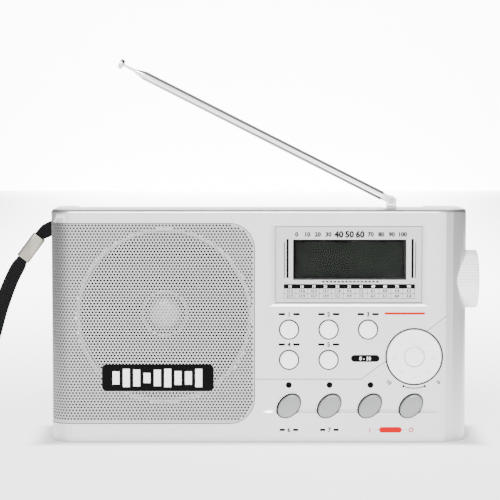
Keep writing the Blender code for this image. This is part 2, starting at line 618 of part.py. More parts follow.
def cone_depth(radius):
    """How far the cone's inner face lies behind the flange's front at a radius."""
    near, far = CONE_RADIUS - 1.5, CONE_NECK - 0.5
    return 0.2 + (BASKET_DEPTH - 3.4) * (near - radius) / (near - far)


# ---------------------------------------------------------------- display and boards

def display():
    """The printed panel in its recess, the clear window in it and the module behind."""
    y0 = FRONT + PANEL_DEPTH
    y1 = INNER_FRONT + GAP
    small = rectangle(PANEL_X0 + GAP, PANEL_X1 - GAP, PANEL_Z0 + GAP, PANEL_Z1 - GAP)
    large = rectangle(PANEL_X0 - PANEL_LIP, PANEL_X1 + PANEL_LIP,
                      PANEL_Z0 - PANEL_LIP, PANEL_Z1 + PANEL_LIP)
    panel = along_y("display_panel", [(y0, small), (y1, small), (y1, large),
                                      (y1 + PANEL_THICK, large)], "white")
    hole = rectangle(WINDOW_X0, WINDOW_X1, WINDOW_Z0, WINDOW_Z1)
    cut(panel, along_y("window_hole", [(FRONT, hole), (FRONT + 15, hole)]))
    block("display_window", (WINDOW_X0 + GAP, y0 + 0.1, WINDOW_Z0 + GAP),
          (WINDOW_X1 - GAP, y0 + 0.1 + WINDOW_THICK, WINDOW_Z1 - GAP), "clear")
    back = y1 + PANEL_THICK + GAP
    block("lcd_module", (WINDOW_X0 - LCD_MARGIN, back, WINDOW_Z0 - LCD_MARGIN),
          (WINDOW_X1 + LCD_MARGIN, back + LCD_THICK, WINDOW_Z1 + LCD_MARGIN), "black")


def tuner_rear():
    return capacitor_axis()[0] + CAPACITOR_SIZE / 2 + GAP + TUNER_THICK


def tuner_posts():
    return ((TUNER_X0 + 4, TUNER_Z1 - 4), (TUNER_X1 - 5, TUNER_Z1 - 4), (TUNER_X0 + 4, TUNER_Z0 + 4))


def boards():
    """The main board with a switch behind every key, and the tuner board behind it."""
    board = block("main_board", (BOARD_X0, BOARD_Y, BOARD_Z0),
                  (BOARD_X1, BOARD_Y + BOARD_THICK, BOARD_Z1), "board")
    spots = round_key_places() + [(x, OVAL_Z) for x in OVAL_COLUMNS]
    half = SWITCH_SIDE / 2
    for number, (x, z) in enumerate(spots):
        add(board, block(f"switch_{number}", (x - half, BOARD_Y - SWITCH_TALL, z - half),
                         (x + half, BOARD_Y + 0.5, z + half)))
        add(board, turned(f"plunger_{number}", [(PLUNGER_RADIUS, 0), (PLUNGER_RADIUS, SWITCH_TALL)],
                          (x, plunger_tip(), z), (0, 1, 0), steps=12))
    y1 = tuner_rear()
    block("tuner_board", (TUNER_X0, y1 - TUNER_THICK, TUNER_Z0), (TUNER_X1, y1, TUNER_Z1), "board")


def plunger_tip():
    return BOARD_Y - SWITCH_TALL - 1.3


# ---------------------------------------------------------------- controls

def key_back(travel):
    """Where a key's stem ends, so that it meets its switch at the end of its travel."""
    return plunger_tip() - travel - GAP


def keys():
    """The round and the oval keys. Each has a lip behind the fascia and a stem."""
    lip = INNER_FRONT + GAP
    for number, (x, z) in enumerate(round_key_places()):
        crown = [(KEY_RADIUS - 0.35, FRONT - KEY_PROUD), (KEY_RADIUS, FRONT - KEY_PROUD + 0.35)]
        turned(f"round_key_{number + 1}",
               [*crown, (KEY_RADIUS, lip), (KEY_RADIUS + KEY_LIP, lip),
                (KEY_RADIUS + KEY_LIP, lip + KEY_LIP_THICK), (PLUNGER_RADIUS, lip + KEY_LIP_THICK),
                (PLUNGER_RADIUS, key_back(KEY_TRAVEL))],
               (x, 0, z), (0, 1, 0), "white", pivot=(x, FRONT, z), steps=20)
    for number, x in enumerate(OVAL_COLUMNS):
        def outline(grown):
            return ellipse((x, OVAL_Z), OVAL_LONG + grown, OVAL_SHORT + grown, OVAL_LEAN)
        stem = PLUNGER_RADIUS - OVAL_SHORT
        along_y(f"oval_key_{number + 1}",
                [(FRONT - OVAL_PROUD, outline(-0.5)), (FRONT - OVAL_PROUD + 0.5, outline(0)),
                 (lip, outline(0)), (lip, outline(KEY_LIP)),
                 (lip + KEY_LIP_THICK, outline(KEY_LIP)), (lip + KEY_LIP_THICK, outline(stem)),
                 (key_back(OVAL_TRAVEL), outline(stem))],
                "grey", pivot=(x, FRONT, OVAL_Z))
    for number, x in enumerate(LED_COLUMNS):
        turned(f"indicator_{number + 1}", [(LED_RADIUS, FRONT - LED_PROUD),
                                           (LED_RADIUS, BOARD_Y - GAP)],
               (x, 0, LED_Z), (0, 1, 0), "black", pivot=(x, FRONT, LED_Z), steps=16)


def volume():
    """The dial, the cap in its middle and the potentiometer that its stem turns."""
    centre = (DIAL_X, FRONT, DIAL_Z)
    pot_back = BOARD_Y - GAP
    back = INNER_FRONT - FRONT
    stem_end = pot_back - 1.2 - FRONT
    dial = turned("volume_dial", [
        (DIAL_RADIUS - 0.5, -DIAL_PROUD),
        (DIAL_RADIUS, -DIAL_PROUD + 0.5), (DIAL_RADIUS, back), (DIAL_STEM, back),
        (DIAL_STEM, stem_end)], centre, (0, 1, 0), "white", steps=40)
    cut(dial, turned("cap_seat", [(DIAL_CAP_RADIUS + GAP, -5),
                                  (DIAL_CAP_RADIUS + GAP, -DIAL_PROUD + DIAL_CAP_DEPTH + GAP)],
                     centre, (0, 1, 0), steps=32))
    cap = turned("volume_cap", [(DIAL_CAP_RADIUS - 0.4, -DIAL_PROUD), (DIAL_CAP_RADIUS, -DIAL_PROUD + 0.3),
                                (DIAL_CAP_RADIUS, -DIAL_PROUD + DIAL_CAP_DEPTH)],
                 centre, (0, 1, 0), "white", steps=32)
    carry(centre, dial, cap)
    half = POT_SIDE / 2
    pot = block("volume_potentiometer", (DIAL_X - half, pot_back - POT_THICK, DIAL_Z - half),
                (DIAL_X + half, pot_back, DIAL_Z + half), "steel")
    cut(pot, turned("pot_bore", [(DIAL_STEM + GAP, 0), (DIAL_STEM + GAP, POT_THICK - 0.9 + 5)],
                    (DIAL_X, pot_back - POT_THICK - 5, DIAL_Z), (0, 1, 0), steps=24))


def capacitor_axis():
    """Y and Z of the tuning capacitor's spindle, one gear mesh away from the knob's axis."""
    away = GEAR_MODULE * (PINION_TEETH + GEAR_TEETH) / 2
    return KNOB_Y + away * cos(CAPACITOR_ANGLE), KNOB_Z + away * sin(CAPACITOR_ANGLE)


def tuning():
    """The knob, its shaft with a pinion, and the reduction gear on the capacitor."""
    end = RIGHT + KNOB_PROUD
    knob_centre = (KNOB_X0, KNOB_Y, KNOB_Z)
    length = end - KNOB_X0
    ribs = 30

    def ribbed(grown):
        return [(KNOB_Y + (KNOB_RADIUS + grown - 0.45 * (i % 2)) * cos(pi * i / ribs),
                 KNOB_Z + (KNOB_RADIUS + grown - 0.45 * (i % 2)) * sin(pi * i / ribs))
                for i in range(2 * ribs)]
    knob = along_x("tuning_knob", [(KNOB_X0, ribbed(0)), (end - 0.8, ribbed(0)), (end, ribbed(-0.8))],
                   "white", pivot=knob_centre)
    cut(knob, turned("knob_bore", [(SHAFT_RADIUS + GAP, -3), (SHAFT_RADIUS + GAP, length - 2.5)],
                     knob_centre, (1, 0, 0), steps=24))
    shaft_end = end - 2.5 - GAP
    shaft = turned("tuning_shaft", [(SHAFT_RADIUS, SHAFT_X0), (SHAFT_RADIUS, shaft_end)],
                   (0, KNOB_Y, KNOB_Z), (1, 0, 0), "steel", pivot=knob_centre, steps=24)
    pinion = gear_outline((KNOB_Y, KNOB_Z), PINION_TEETH, CAPACITOR_ANGLE)
    add(shaft, along_x("pinion_teeth", [(GEAR_X0 - 0.4, pinion), (GEAR_X0 + GEAR_WIDTH + 0.4, pinion)]))
    carry(knob_centre, knob, shaft)

    y, z = capacitor_axis()
    facing = CAPACITOR_ANGLE + pi + pi / GEAR_TEETH
    wheel = gear_outline((y, z), GEAR_TEETH, facing)
    gear = along_x("tuning_gear", [(GEAR_X0, wheel), (GEAR_X0 + GEAR_WIDTH, wheel)], "white",
                   pivot=(GEAR_X0, y, z))
    box_end = GEAR_X0 - 1.0
    add(gear, turned("gear_spindle", [(SPINDLE_RADIUS, box_end - 8), (SPINDLE_RADIUS, GEAR_X0 + 1)],
                     (0, y, z), (1, 0, 0), steps=20))
    half = CAPACITOR_SIZE / 2
    body = block("tuning_capacitor", (box_end - CAPACITOR_LENGTH, y - half, z - half),
                 (box_end, y + half, z + half), "steel")
    cut(body, turned("capacitor_bore", [(SPINDLE_RADIUS + GAP, box_end - 8 - GAP),
                                        (SPINDLE_RADIUS + GAP, box_end + 5)],
                     (0, y, z), (1, 0, 0), steps=20))


def band_switch():
    """A slide switch behind the right wall and its actuator in the wall's slot."""
    inner = RIGHT - WALL - GAP
    y0, y1 = SLIDER_Y - SLIDER_HALF_Y, SLIDER_Y + SLIDER_HALF_Y
    z0, z1 = SLIDER_Z - SLIDER_HALF_Z, SLIDER_Z + SLIDER_HALF_Z
    slider = block("band_switch_slider", (inner - 3.0, y0, z0), (RIGHT + SLIDER_PROUD, y1, z1),
                   "black", pivot=(inner, SLIDER_Y, SLIDER_Z))
    long_x, long_y, long_z = BAND_BODY
    middle = SLIDER_Z + SLIDER_TRAVEL / 2
    body = block("band_switch_body", (inner - long_x, SLIDER_Y - long_y / 2, middle - long_z / 2),
                 (inner, SLIDER_Y + long_y / 2, middle + long_z / 2), "steel")
    cut(body, block("slider_way", (inner - 3.0 - GAP, y0 - GAP, z0 - GAP),
                    (inner + 5, y1 + GAP, z1 + SLIDER_TRAVEL + GAP)))
    return slider


# ---------------------------------------------------------------- antenna

def antenna():
    """The turret on its upright axis, the fork's pin, four nested tubes and the end rod."""
    pivot = Vector((MAST_X, MAST_Y, PIVOT_Z))
    floor = notch_floor()
    below = floor - NOTCH_FLOOR
    disc_low = floor + GAP
    turret = turned("antenna_turret", [
        (STEM_RADIUS, below - 4.0), (STEM_RADIUS, disc_low), (TURRET_RADIUS, disc_low),
        (TURRET_RADIUS, disc_low + TURRET_DISC)],
        (MAST_X, MAST_Y, 0), (0, 0, 1), "chrome", pivot=(MAST_X, MAST_Y, floor), steps=28)
    inside = TONGUE_THICK / 2 + GAP
    for side in (-1, 1):
        y0, y1 = sorted((MAST_Y + side * inside, MAST_Y + side * (inside + EAR_THICK)))
        outline = [(MAST_X - EAR_HALF, disc_low + 0.2), (MAST_X + EAR_HALF, disc_low + 0.2),
                   *arc((MAST_X, PIVOT_Z), EAR_HALF, 0, pi, 8)]
        ear = along_y(f"turret_ear_{side + 1}", [(y0, outline), (y1, outline)])
        add(turret, ear)
    cut(turret, turned("turret_pin_hole", [(PIN_RADIUS + GAP, -6), (PIN_RADIUS + GAP, 6)],
                       pivot, (0, 1, 0), steps=16))
    reach = inside + EAR_THICK
    turned("antenna_pin", [(PIN_RADIUS + 0.5, -reach - 0.9), (PIN_RADIUS + 0.5, -reach - GAP),
                           (PIN_RADIUS, -reach - GAP), (PIN_RADIUS, reach + GAP),
                           (PIN_RADIUS + 0.5, reach + GAP), (PIN_RADIUS + 0.5, reach + 0.9)],
           pivot, (0, 1, 0), "chrome", steps=16)
    tube("antenna_foot", INNER_REAR - MAST_Y - GAP, STEM_RADIUS + GAP, below - GAP - 2.5, below - GAP,
         (MAST_X, MAST_Y, 0), (0, 0, 1), "steel", steps=20)

    along = Vector((-cos(MAST_LEAN), 0, sin(MAST_LEAN)))
    end = TUBE_START + TUBE_LENGTH
    for number, radius in enumerate(TUBE_RADII):
        start = TUBE_START + 3.0 + TUBE_STEP * number
        section = tube(f"antenna_tube_{number + 1}", radius, radius - TUBE_WALL,
                       start, end + TUBE_STEP * number, pivot, along, "chrome")
        if number == 0:
            plug = turned("tube_plug", [(radius, TUBE_START), (radius, start + 0.5)],
                          pivot, along, steps=16)
            add(section, plug, tongue(pivot, along))
            cut(section, turned("tongue_pin_hole", [(PIN_RADIUS + GAP, -6), (PIN_RADIUS + GAP, 6)],
                                pivot, (0, 1, 0), steps=16))
    start = TUBE_START + 3.0 + TUBE_STEP * len(TUBE_RADII)
    rod_end = TIP_DISTANCE - TIP_LENGTH / 2
    turned("antenna_rod", [(ROD_RADIUS, start), (ROD_RADIUS, rod_end)], pivot, along, "chrome", steps=12)
    hole_end = rod_end + GAP
    turned("antenna_tip", [(TIP_RADIUS - 0.6, hole_end), (TIP_RADIUS, hole_end + 0.6),
                           (TIP_RADIUS, hole_end + TIP_LENGTH - 0.8),
                           (TIP_RADIUS - 1.0, hole_end + TIP_LENGTH)],
           pivot, along, "chrome", steps=20)


def tongue(pivot, along):
    """The flat tongue of the lowest tube that turns between the turret's ears."""
    across = Vector((along.z, 0, -along.x))
    half = TONGUE_THICK / 2
    rings = []
    for y in (-half, half):
        rings.append([pivot + along * t + across * s + Vector((0, y, 0)) for t, s in (
            (-TONGUE_BACK, -TONGUE_HALF), (TUBE_START + 1.0, -TONGUE_HALF),
            (TUBE_START + 1.0, TONGUE_HALF), (-TONGUE_BACK, TONGUE_HALF))])
    return make("tube_tongue", rings)


# ---------------------------------------------------------------- what the rear holds

def batteries():
    """Three cells side by side, end to end with the contact plates."""
    x0, x1 = BAY_X0 + (BAY_LENGTH - CELL_LENGTH) / 2, BAY_X0 + (BAY_LENGTH + CELL_LENGTH) / 2
    y = bay_front() + CELL_SPACE + CELL_RADIUS
    pitch = 2 * CELL_RADIUS + CELL_SPACE
    places = [BAY_Z0 + CELL_SPACE + CELL_RADIUS + pitch * i for i in range(CELL_COUNT)]
    for number, z in enumerate(places):
        way = -1 if number % 2 else 1
        start = (x0 if way > 0 else x1, y, z)
        turned(f"battery_{number + 1}", [
            (CELL_RADIUS - 0.5, 0), (CELL_RADIUS, 0.5), (CELL_RADIUS, CELL_LENGTH - CELL_NUB - 0.5),
            (CELL_RADIUS - 0.5, CELL_LENGTH - CELL_NUB), (2.7, CELL_LENGTH - CELL_NUB),
            (2.7, CELL_LENGTH)], start, (way, 0, 0), "cell", steps=24)
    for name, wall, way, face in (("battery_contacts_left", BAY_X0 + GAP, 1, x0),
                                  ("battery_contacts_right", BAY_X0 + BAY_LENGTH - GAP, -1, x1)):
        low, high = sorted((wall, wall + way * CONTACT_THICK))
        plate = block(name, (low, y - 5.0, places[0] - 5.0), (high, y + 5.0, places[-1] + 5.0),
                      "steel")
        reach = abs(face - wall) - GAP
        for number, z in enumerate(places):
            add(plate, turned(f"{name}_spring_{number}",
                              [(3.2, CONTACT_THICK / 2), (2.0, reach)], (wall, y, z), (way, 0, 0),
                              steps=12))


def ferrite():
    """The ferrite rod on its two ribs and the coil round it."""
    centre = (FERRITE_X0, FERRITE_Y, FERRITE_Z)
    turned("ferrite_rod", [(FERRITE_RADIUS, 0), (FERRITE_RADIUS, FERRITE_LENGTH)], centre,
           (1, 0, 0), "black", steps=20)
    start = COIL_X0 - FERRITE_X0
    tube("ferrite_coil", COIL_RADIUS, FERRITE_RADIUS + GAP, start, start + COIL_LENGTH, centre,
         (1, 0, 0), "copper", steps=20)


def sockets():
    """The earphone and the power socket behind the left wall."""
    for name, y, z, radius, bore in (("earphone_jack", JACK_Y, JACK_Z, JACK_RADIUS, JACK_BORE),
                                     ("dc_jack", DC_Y, DC_Z, DC_RADIUS, DC_BORE)):
        inner = LEFT + WALL + GAP
        half = SOCKET_SIDE / 2
        body = block(name, (inner, y - half, z - half), (inner + SOCKET_LENGTH, y + half, z + half),
                     "black", pivot=(LEFT, y, z))
        add(body, turned(name + "_nose", [(radius, 0.2), (radius, WALL + 2)], (LEFT, y, z),
                         (1, 0, 0), steps=24))
        cut(body, turned(name + "_bore", [(bore, -2), (bore, SOCKET_LENGTH)], (LEFT, y, z),
                         (1, 0, 0), steps=20))
        if name == "dc_jack":
            add(body, turned("dc_pin", [(0.65, 1.0), (0.65, SOCKET_LENGTH + 1)], (LEFT, y, z),
                             (1, 0, 0), steps=10))


# ---------------------------------------------------------------- wrist strap

def smooth_route(per_span=STRAP_STEPS):
    """A Catmull-Rom curve through the strap's route, as points and unit directions."""
    knots = [Vector((LEFT + x, 0, z)) for x, z in STRAP_ROUTE]
    knots = [2 * knots[0] - knots[1], *knots, 2 * knots[-1] - knots[-2]]
    points = []
    for a, b, c, d in zip(knots, knots[1:], knots[2:], knots[3:]):
        for i in range(per_span):
            t = i / per_span
            points.append(0.5 * (2 * b + (c - a) * t + (2 * a - 5 * b + 4 * c - d) * t * t
                                 + (3 * b - a - 3 * c + d) * t ** 3))
    points.append(knots[-2])
    ways = []
    for i in range(len(points)):
        ways.append((points[min(i + 1, len(points) - 1)] - points[max(i - 1, 0)]).normalized())
    return points, ways


def ease(value):
    value = min(max(value, 0.0), 1.0)
    return value * value * (3 - 2 * value)


def strap():
    """The pin, the folded tape that hangs from it, and the crimp that holds its two layers."""
    turned("strap_pin", [(STRAP_PIN_RADIUS, -STRAP_PIN_WALL),
                         (STRAP_PIN_RADIUS, STRAP_POCKET_Z1 - STRAP_POCKET_Z0 + STRAP_PIN_WALL)],
           (STRAP_PIN_X, STRAP_Y, STRAP_POCKET_Z0), (0, 0, 1), "steel", steps=16)
    points, ways = smooth_route()
    travelled = [0.0]
    for a, b in zip(points, points[1:]):
        travelled.append(travelled[-1] + (b - a).length)
    middle = travelled[STRAP_CRIMP_KNOT * STRAP_STEPS]
    half_crimp = CRIMP_LENGTH / 2
    pinched, at_pin = STRAP_THICK / 2 + GAP / 2, STRAP_PIN_RADIUS + GAP + STRAP_THICK / 2

    def spread(s):
        if s < middle:
            return pinched + (at_pin - pinched) * ease((middle - half_crimp - s) / 9.0)
        return pinched + (STRAP_OPEN - pinched) * ease((s - middle - half_crimp) / 60.0)

    def width(s):
        near = ease((abs(s - middle) - half_crimp) / 5.0)
        return STRAP_PINCHED + (STRAP_WIDTH - STRAP_PINCHED) * near

    def stations(indices, side):
        return [(points[i] + Vector((0, STRAP_Y + side * spread(travelled[i]), 0)), ways[i],
                 Vector((0, side, 0)), width(travelled[i])) for i in indices]

    def turn(index, direction, start_side):
        """Half a circle from one run to the other, past the route's end."""
        radius, way = spread(travelled[index]), ways[index]
        found = []
        for i in range(1, 8):
            angle = pi * i / 8
            out = Vector((0, start_side * cos(angle), 0)) + way * direction * sin(angle)
            centre = points[index] + Vector((0, STRAP_Y, 0))
            found.append((centre + out * radius, way, out, width(travelled[index])))
        return found

    last = len(points) - 1
    knot = STRAP_CRIMP_KNOT * STRAP_STEPS
    row = stations(range(knot, -1, -1), -1) + turn(0, -1, -1) + stations(range(0, last - 1), 1)
    row += turn(last - 2, 1, 1) + stations(range(last - 2, knot, -1), -1)
    rings = []
    for place, way, out, wide in row:
        across = Vector((way.z, 0, -way.x))
        a, b = across * wide / 2, out * STRAP_THICK / 2
        rings.append([place - a - b, place + a - b, place + a + b, place - a + b])
    start = (rings[0][0] + rings[0][2]) / 2
    make("strap_loop", rings, "cloth", pivot=start)

    place, way = points[knot] + Vector((0, STRAP_Y, 0)), ways[knot]
    across = Vector((way.z, 0, -way.x))
    inner_w, inner_t = STRAP_PINCHED / 2 + 1.5 * GAP, pinched + STRAP_THICK / 2 + GAP

    def frame(grown, t):
        a, b = across * (inner_w + grown), Vector((0, inner_t + grown, 0))
        return [place + way * t + p for p in (-a - b, a - b, a + b, -a + b)]
    make("strap_crimp", [frame(CRIMP_WALL, -half_crimp), frame(CRIMP_WALL, half_crimp),
                         frame(0, half_crimp), frame(0, -half_crimp)], "steel", pivot=place, closed=True)


def main():
    for old in list(bpy.data.objects):
        bpy.data.objects.remove(old, do_unlink=True)
    front_shell()
    rear_shell()
    battery_door()
    case_screws()
    speaker()
    display()
    boards()
    keys()
    volume()
    tuning()
    band_switch()
    antenna()
    batteries()
    ferrite()
    sockets()
    strap()


main()
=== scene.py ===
"""Looks of the portable shortwave receiver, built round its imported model.

Every size here is in metres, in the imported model's own frame: the origin is the centre of
the flat base, the front faces -Y and +Z is up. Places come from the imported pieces' boxes.
"""

import json
import logging
from dataclasses import dataclass
from enum import Enum
from math import cos, pi, radians, sin

import bmesh
import bpy
import numpy as np
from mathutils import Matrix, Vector

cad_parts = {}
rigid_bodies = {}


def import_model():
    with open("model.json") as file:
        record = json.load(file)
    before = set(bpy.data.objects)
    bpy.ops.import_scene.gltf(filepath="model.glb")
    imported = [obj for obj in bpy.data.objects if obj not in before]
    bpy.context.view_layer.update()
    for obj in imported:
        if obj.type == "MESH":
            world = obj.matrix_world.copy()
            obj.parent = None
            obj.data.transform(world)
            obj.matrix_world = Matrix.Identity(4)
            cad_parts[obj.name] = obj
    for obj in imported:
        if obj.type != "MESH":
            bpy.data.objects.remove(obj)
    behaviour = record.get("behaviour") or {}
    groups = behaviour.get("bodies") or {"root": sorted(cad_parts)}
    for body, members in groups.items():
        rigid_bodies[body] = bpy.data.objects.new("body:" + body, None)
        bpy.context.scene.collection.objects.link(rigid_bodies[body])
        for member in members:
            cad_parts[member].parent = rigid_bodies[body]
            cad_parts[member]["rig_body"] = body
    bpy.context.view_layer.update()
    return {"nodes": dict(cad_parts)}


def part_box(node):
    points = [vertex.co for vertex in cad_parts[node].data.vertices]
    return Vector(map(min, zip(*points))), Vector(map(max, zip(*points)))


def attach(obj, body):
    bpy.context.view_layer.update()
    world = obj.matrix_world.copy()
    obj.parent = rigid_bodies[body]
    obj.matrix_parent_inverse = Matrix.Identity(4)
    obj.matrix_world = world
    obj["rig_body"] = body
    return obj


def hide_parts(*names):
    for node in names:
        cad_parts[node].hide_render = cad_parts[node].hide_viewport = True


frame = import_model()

MM = 0.001
GAP = 0.3 * MM
LOG = logging.getLogger("receiver")
Points = np.ndarray
Faces = list[list[int]]


class Slot(Enum):
    """The record's slots, by which a piece's finish can be changed."""

    CASE = "case"
    GRILLE = "grille"
    WHITE_PLASTIC = "white_plastic"
    BLACK_PLASTIC = "black_plastic"
    KEY_GREY = "key_grey"
    PAPER = "paper"
    CHROME = "chrome"
    NICKEL = "nickel"
    WEBBING = "webbing"


# ---------------------------------------------------------------- finishes

@dataclass(frozen=True)
class Finish:
    """A surface finish: a colour that varies a little, a gloss that varies a little and a
    fine relief. All its patterns are worked out from Object coordinates."""

    name: str
    colour: tuple[float, float, float]
    roughness: float = 0.4
    metallic: float = 0.0
    pattern_scale: float = 2500.0
    relief: float = 0.06
    mottle: float = 0.04
    mottle_scale: float = 60.0
    coat: float = 0.0
    stretch: tuple[float, float, float] = (1.0, 1.0, 1.0)
    specular: float = 0.5

    def material(self) -> bpy.types.Material:
        """Build the material, or give back the one already built.

        Returns:
            The node material of this finish.
        """
        name = self.name + "_finish"
        ready = bpy.data.materials.get(name)
        if ready:
            return ready
        made = bpy.data.materials.new(name)
        made.use_nodes = True
        nodes, links = made.node_tree.nodes, made.node_tree.links
        shader = nodes["Principled BSDF"]
        shader.inputs["Metallic"].default_value = self.metallic
        shader.inputs["Coat Weight"].default_value = self.coat
        shader.inputs["Coat Roughness"].default_value = 0.08
        shader.inputs["Specular IOR Level"].default_value = self.specular
        where = nodes.new("ShaderNodeTexCoord")
        placed = nodes.new("ShaderNodeMapping")
        placed.inputs["Scale"].default_value = self.stretch
        links.new(where.outputs["Object"], placed.inputs["Vector"])

        cloud = self.noise(nodes, links, placed, self.mottle_scale, 3.0)
        ramp = nodes.new("ShaderNodeValToRGB")
        ramp.color_ramp.elements[0].position = 0.3
        ramp.color_ramp.elements[1].position = 0.7
        low = [max(c * (1 - self.mottle), 0) for c in self.colour]
        high = [min(c * (1 + self.mottle), 1) for c in self.colour]
        ramp.color_ramp.elements[0].color = (*low, 1)
        ramp.color_ramp.elements[1].color = (*high, 1)
        links.new(cloud.outputs["Fac"], ramp.inputs["Fac"])
        links.new(ramp.outputs["Color"], shader.inputs["Base Color"])

        fine = self.noise(nodes, links, placed, self.pattern_scale, 2.0)
        gloss = nodes.new("ShaderNodeMapRange")
        gloss.inputs["To Min"].default_value = max(self.roughness - 0.06, 0.02)
        gloss.inputs["To Max"].default_value = min(self.roughness + 0.08, 1)
        links.new(fine.outputs["Fac"], gloss.inputs["Value"])
        links.new(gloss.outputs["Result"], shader.inputs["Roughness"])
        bump = nodes.new("ShaderNodeBump")
        bump.inputs["Strength"].default_value = self.relief
        bump.inputs["Distance"].default_value = 0.05 * MM
        links.new(fine.outputs["Fac"], bump.inputs["Height"])
        links.new(bump.outputs["Normal"], shader.inputs["Normal"])
        self.special(nodes, links, shader, placed)
        return made

    def noise(self, nodes, links, placed, scale: float, detail: float) -> bpy.types.Node:
        """Add a noise on Object coordinates.

        Args:
            nodes: The material's nodes.
            links: The material's links.
            placed: The mapping that it reads.
            scale: Its cells per metre.
            detail: Its octaves.

        Returns:
            The noise node.
        """
        found = nodes.new("ShaderNodeTexNoise")
        found.inputs["Scale"].default_value = scale
        found.inputs["Detail"].default_value = detail
        links.new(placed.outputs["Vector"], found.inputs["Vector"])
        return found

    def special(self, nodes, links, shader, placed) -> None:
        """Add what only this kind of finish has. A plain finish adds nothing.

        Args:
            nodes: The material's nodes.
            links: The material's links.
            shader: The node that holds the finish.
            placed: The mapping that the patterns read.
        """


@dataclass(frozen=True)
class ClearWindow(Finish):
    """A clear window: light passes through it."""

    def special(self, nodes, links, shader, placed) -> None:
        """Let light through. The low index keeps the window's own reflection faint.

        Args:
            nodes: The material's nodes.
            links: The material's links.
            shader: The node that holds the finish.
            placed: The mapping that the patterns read.
        """
        shader.inputs["Transmission Weight"].default_value = 1.0
        shader.inputs["IOR"].default_value = 1.15


@dataclass(frozen=True)
class WovenTape(Finish):
    """A plain weave that follows the tape: two waves at right angles on its UV map, the
    warp along it and the weft across it, multiplied into a small square relief."""

    warp: float = 9.0
    weft: float = 1.5

    def special(self, nodes, links, shader, placed) -> None:
        """Replace the relief by the weave's.

        Args:
            nodes: The material's nodes.
            links: The material's links.
            shader: The node that holds the finish.
            placed: The mapping that the patterns read.
        """
        where = nodes.new("ShaderNodeUVMap")
        heights = []
        for across, count in (("X", self.warp), ("Y", self.weft)):
            wave = nodes.new("ShaderNodeTexWave")
            wave.bands_direction = across
            wave.inputs["Scale"].default_value = count
            wave.inputs["Distortion"].default_value = 0.6
            links.new(where.outputs["UV"], wave.inputs["Vector"])
            heights.append(wave)
        both = nodes.new("ShaderNodeMath")
        both.operation = "MULTIPLY"
        links.new(heights[0].outputs["Fac"], both.inputs[0])
        links.new(heights[1].outputs["Fac"], both.inputs[1])
        bump = nodes.new("ShaderNodeBump")
        bump.inputs["Strength"].default_value = 0.9
        bump.inputs["Distance"].default_value = 0.25 * MM
        links.new(both.outputs["Value"], bump.inputs["Height"])
        links.new(bump.outputs["Normal"], shader.inputs["Normal"])
        shader.inputs["Sheen Weight"].default_value = 0.04


SILVER_PAINT = Finish("silver_paint", (0.62, 0.62, 0.63), 0.33, 0.85, 5200, 0.05,
                      0.02, 40, 0.0)
REAR_PAINT = Finish("rear_paint", (0.55, 0.55, 0.56), 0.33, 0.8, 5200, 0.06,
                    0.03, 40, 0.1)
GRILLE_METAL = Finish("grille_metal", (0.374, 0.374, 0.374), 0.33, 0.85, 4000, 0.05, 0.03)
PEARL_PLASTIC = Finish("pearl_plastic", (0.87, 0.87, 0.88), 0.25, 0.05, relief=0.03, mottle=0.015,
                       coat=0.4)
KEY_GREY = Finish("key_grey", (0.211, 0.215, 0.218), 0.3, 0.25, relief=0.03, mottle=0.04, coat=0.3)
PANEL_WHITE = Finish("panel_white", (0.468, 0.468, 0.474), 0.4, 0.1, relief=0.03, mottle=0.02)
BLACK_PLASTIC = Finish("black_plastic", (0.004, 0.004, 0.0043), 0.55, relief=0.1, mottle=0.2, specular=0.1)
CHROME = Finish("chrome_plate", (0.82, 0.82, 0.84), 0.09, 1.0, 900, 0.02, 0.02)
STEEL = Finish("plain_steel", (0.5, 0.5, 0.51), 0.35, 1.0, 2600, 0.15, 0.08)
NICKEL = Finish("brushed_nickel", (0.30, 0.28, 0.235), 0.3, 1.0, 1500, 0.2, 0.15,
                200, stretch=(1.0, 1.0, 0.1))
CONE_PAPER = Finish("cone_paper", (0.006, 0.006, 0.0065), 0.9, 0.0, 1800, 0.5, 0.3, 300,
                    specular=0.1)
BACKING_FELT = Finish("backing_felt", (0.05, 0.05, 0.05), 0.9, 0.0, 1800, 0.3, 0.2, 300,
                      specular=0.05)
CAP_PAPER = Finish("cap_foil", (0.62, 0.62, 0.63), 0.35, 0.6, 1800, 0.1, 0.06)
FERRITE = Finish("ferrite", (0.05, 0.05, 0.055), 0.6, 0.0, relief=0.3, mottle=0.2)
BOARD = Finish("board_lacquer", (0.03, 0.16, 0.07), 0.35, 0.0, relief=0.1, mottle=0.25, mottle_scale=300)
COPPER = Finish("coil_wire", (0.55, 0.24, 0.1), 0.35, 1.0, 2500, 0.6, 0.1,
                stretch=(1.0, 0.05, 0.05))
CELL_SLEEVE = Finish("cell_sleeve", (0.05, 0.09, 0.2), 0.3, 0.2, relief=0.03, mottle=0.06)
LCD_GLASS = Finish("lcd_glass", (0.0055, 0.0085, 0.006), 0.5, 0.0, relief=0.02, mottle=0.12, specular=0.03)
LCD_SEGMENT = Finish("lcd_segment", (0.0045, 0.007, 0.005), 0.5, relief=0.02, mottle=0.1, specular=0.03)
WINDOW = ClearWindow("window_acrylic", (0.62, 0.66, 0.62), 0.1, 0.0, relief=0.0, mottle=0.01, specular=0.12)
BLACK_INK = Finish("black_ink", (0.003, 0.003, 0.003), 0.7, relief=0.02, mottle=0.15, specular=0.02)
WHITE_INK = Finish("white_ink", (0.85, 0.85, 0.85), 0.4, relief=0.05, mottle=0.03)
RED_INK = Finish("red_ink", (0.45, 0.0015, 0.004), 0.7, relief=0.02, mottle=0.05, specular=0.02)
TAPE = WovenTape("woven_tape", (0.003, 0.003, 0.0035), 0.9, 0.0, mottle=0.25, mottle_scale=900, specular=0.12)


# ---------------------------------------------------------------- surfaces

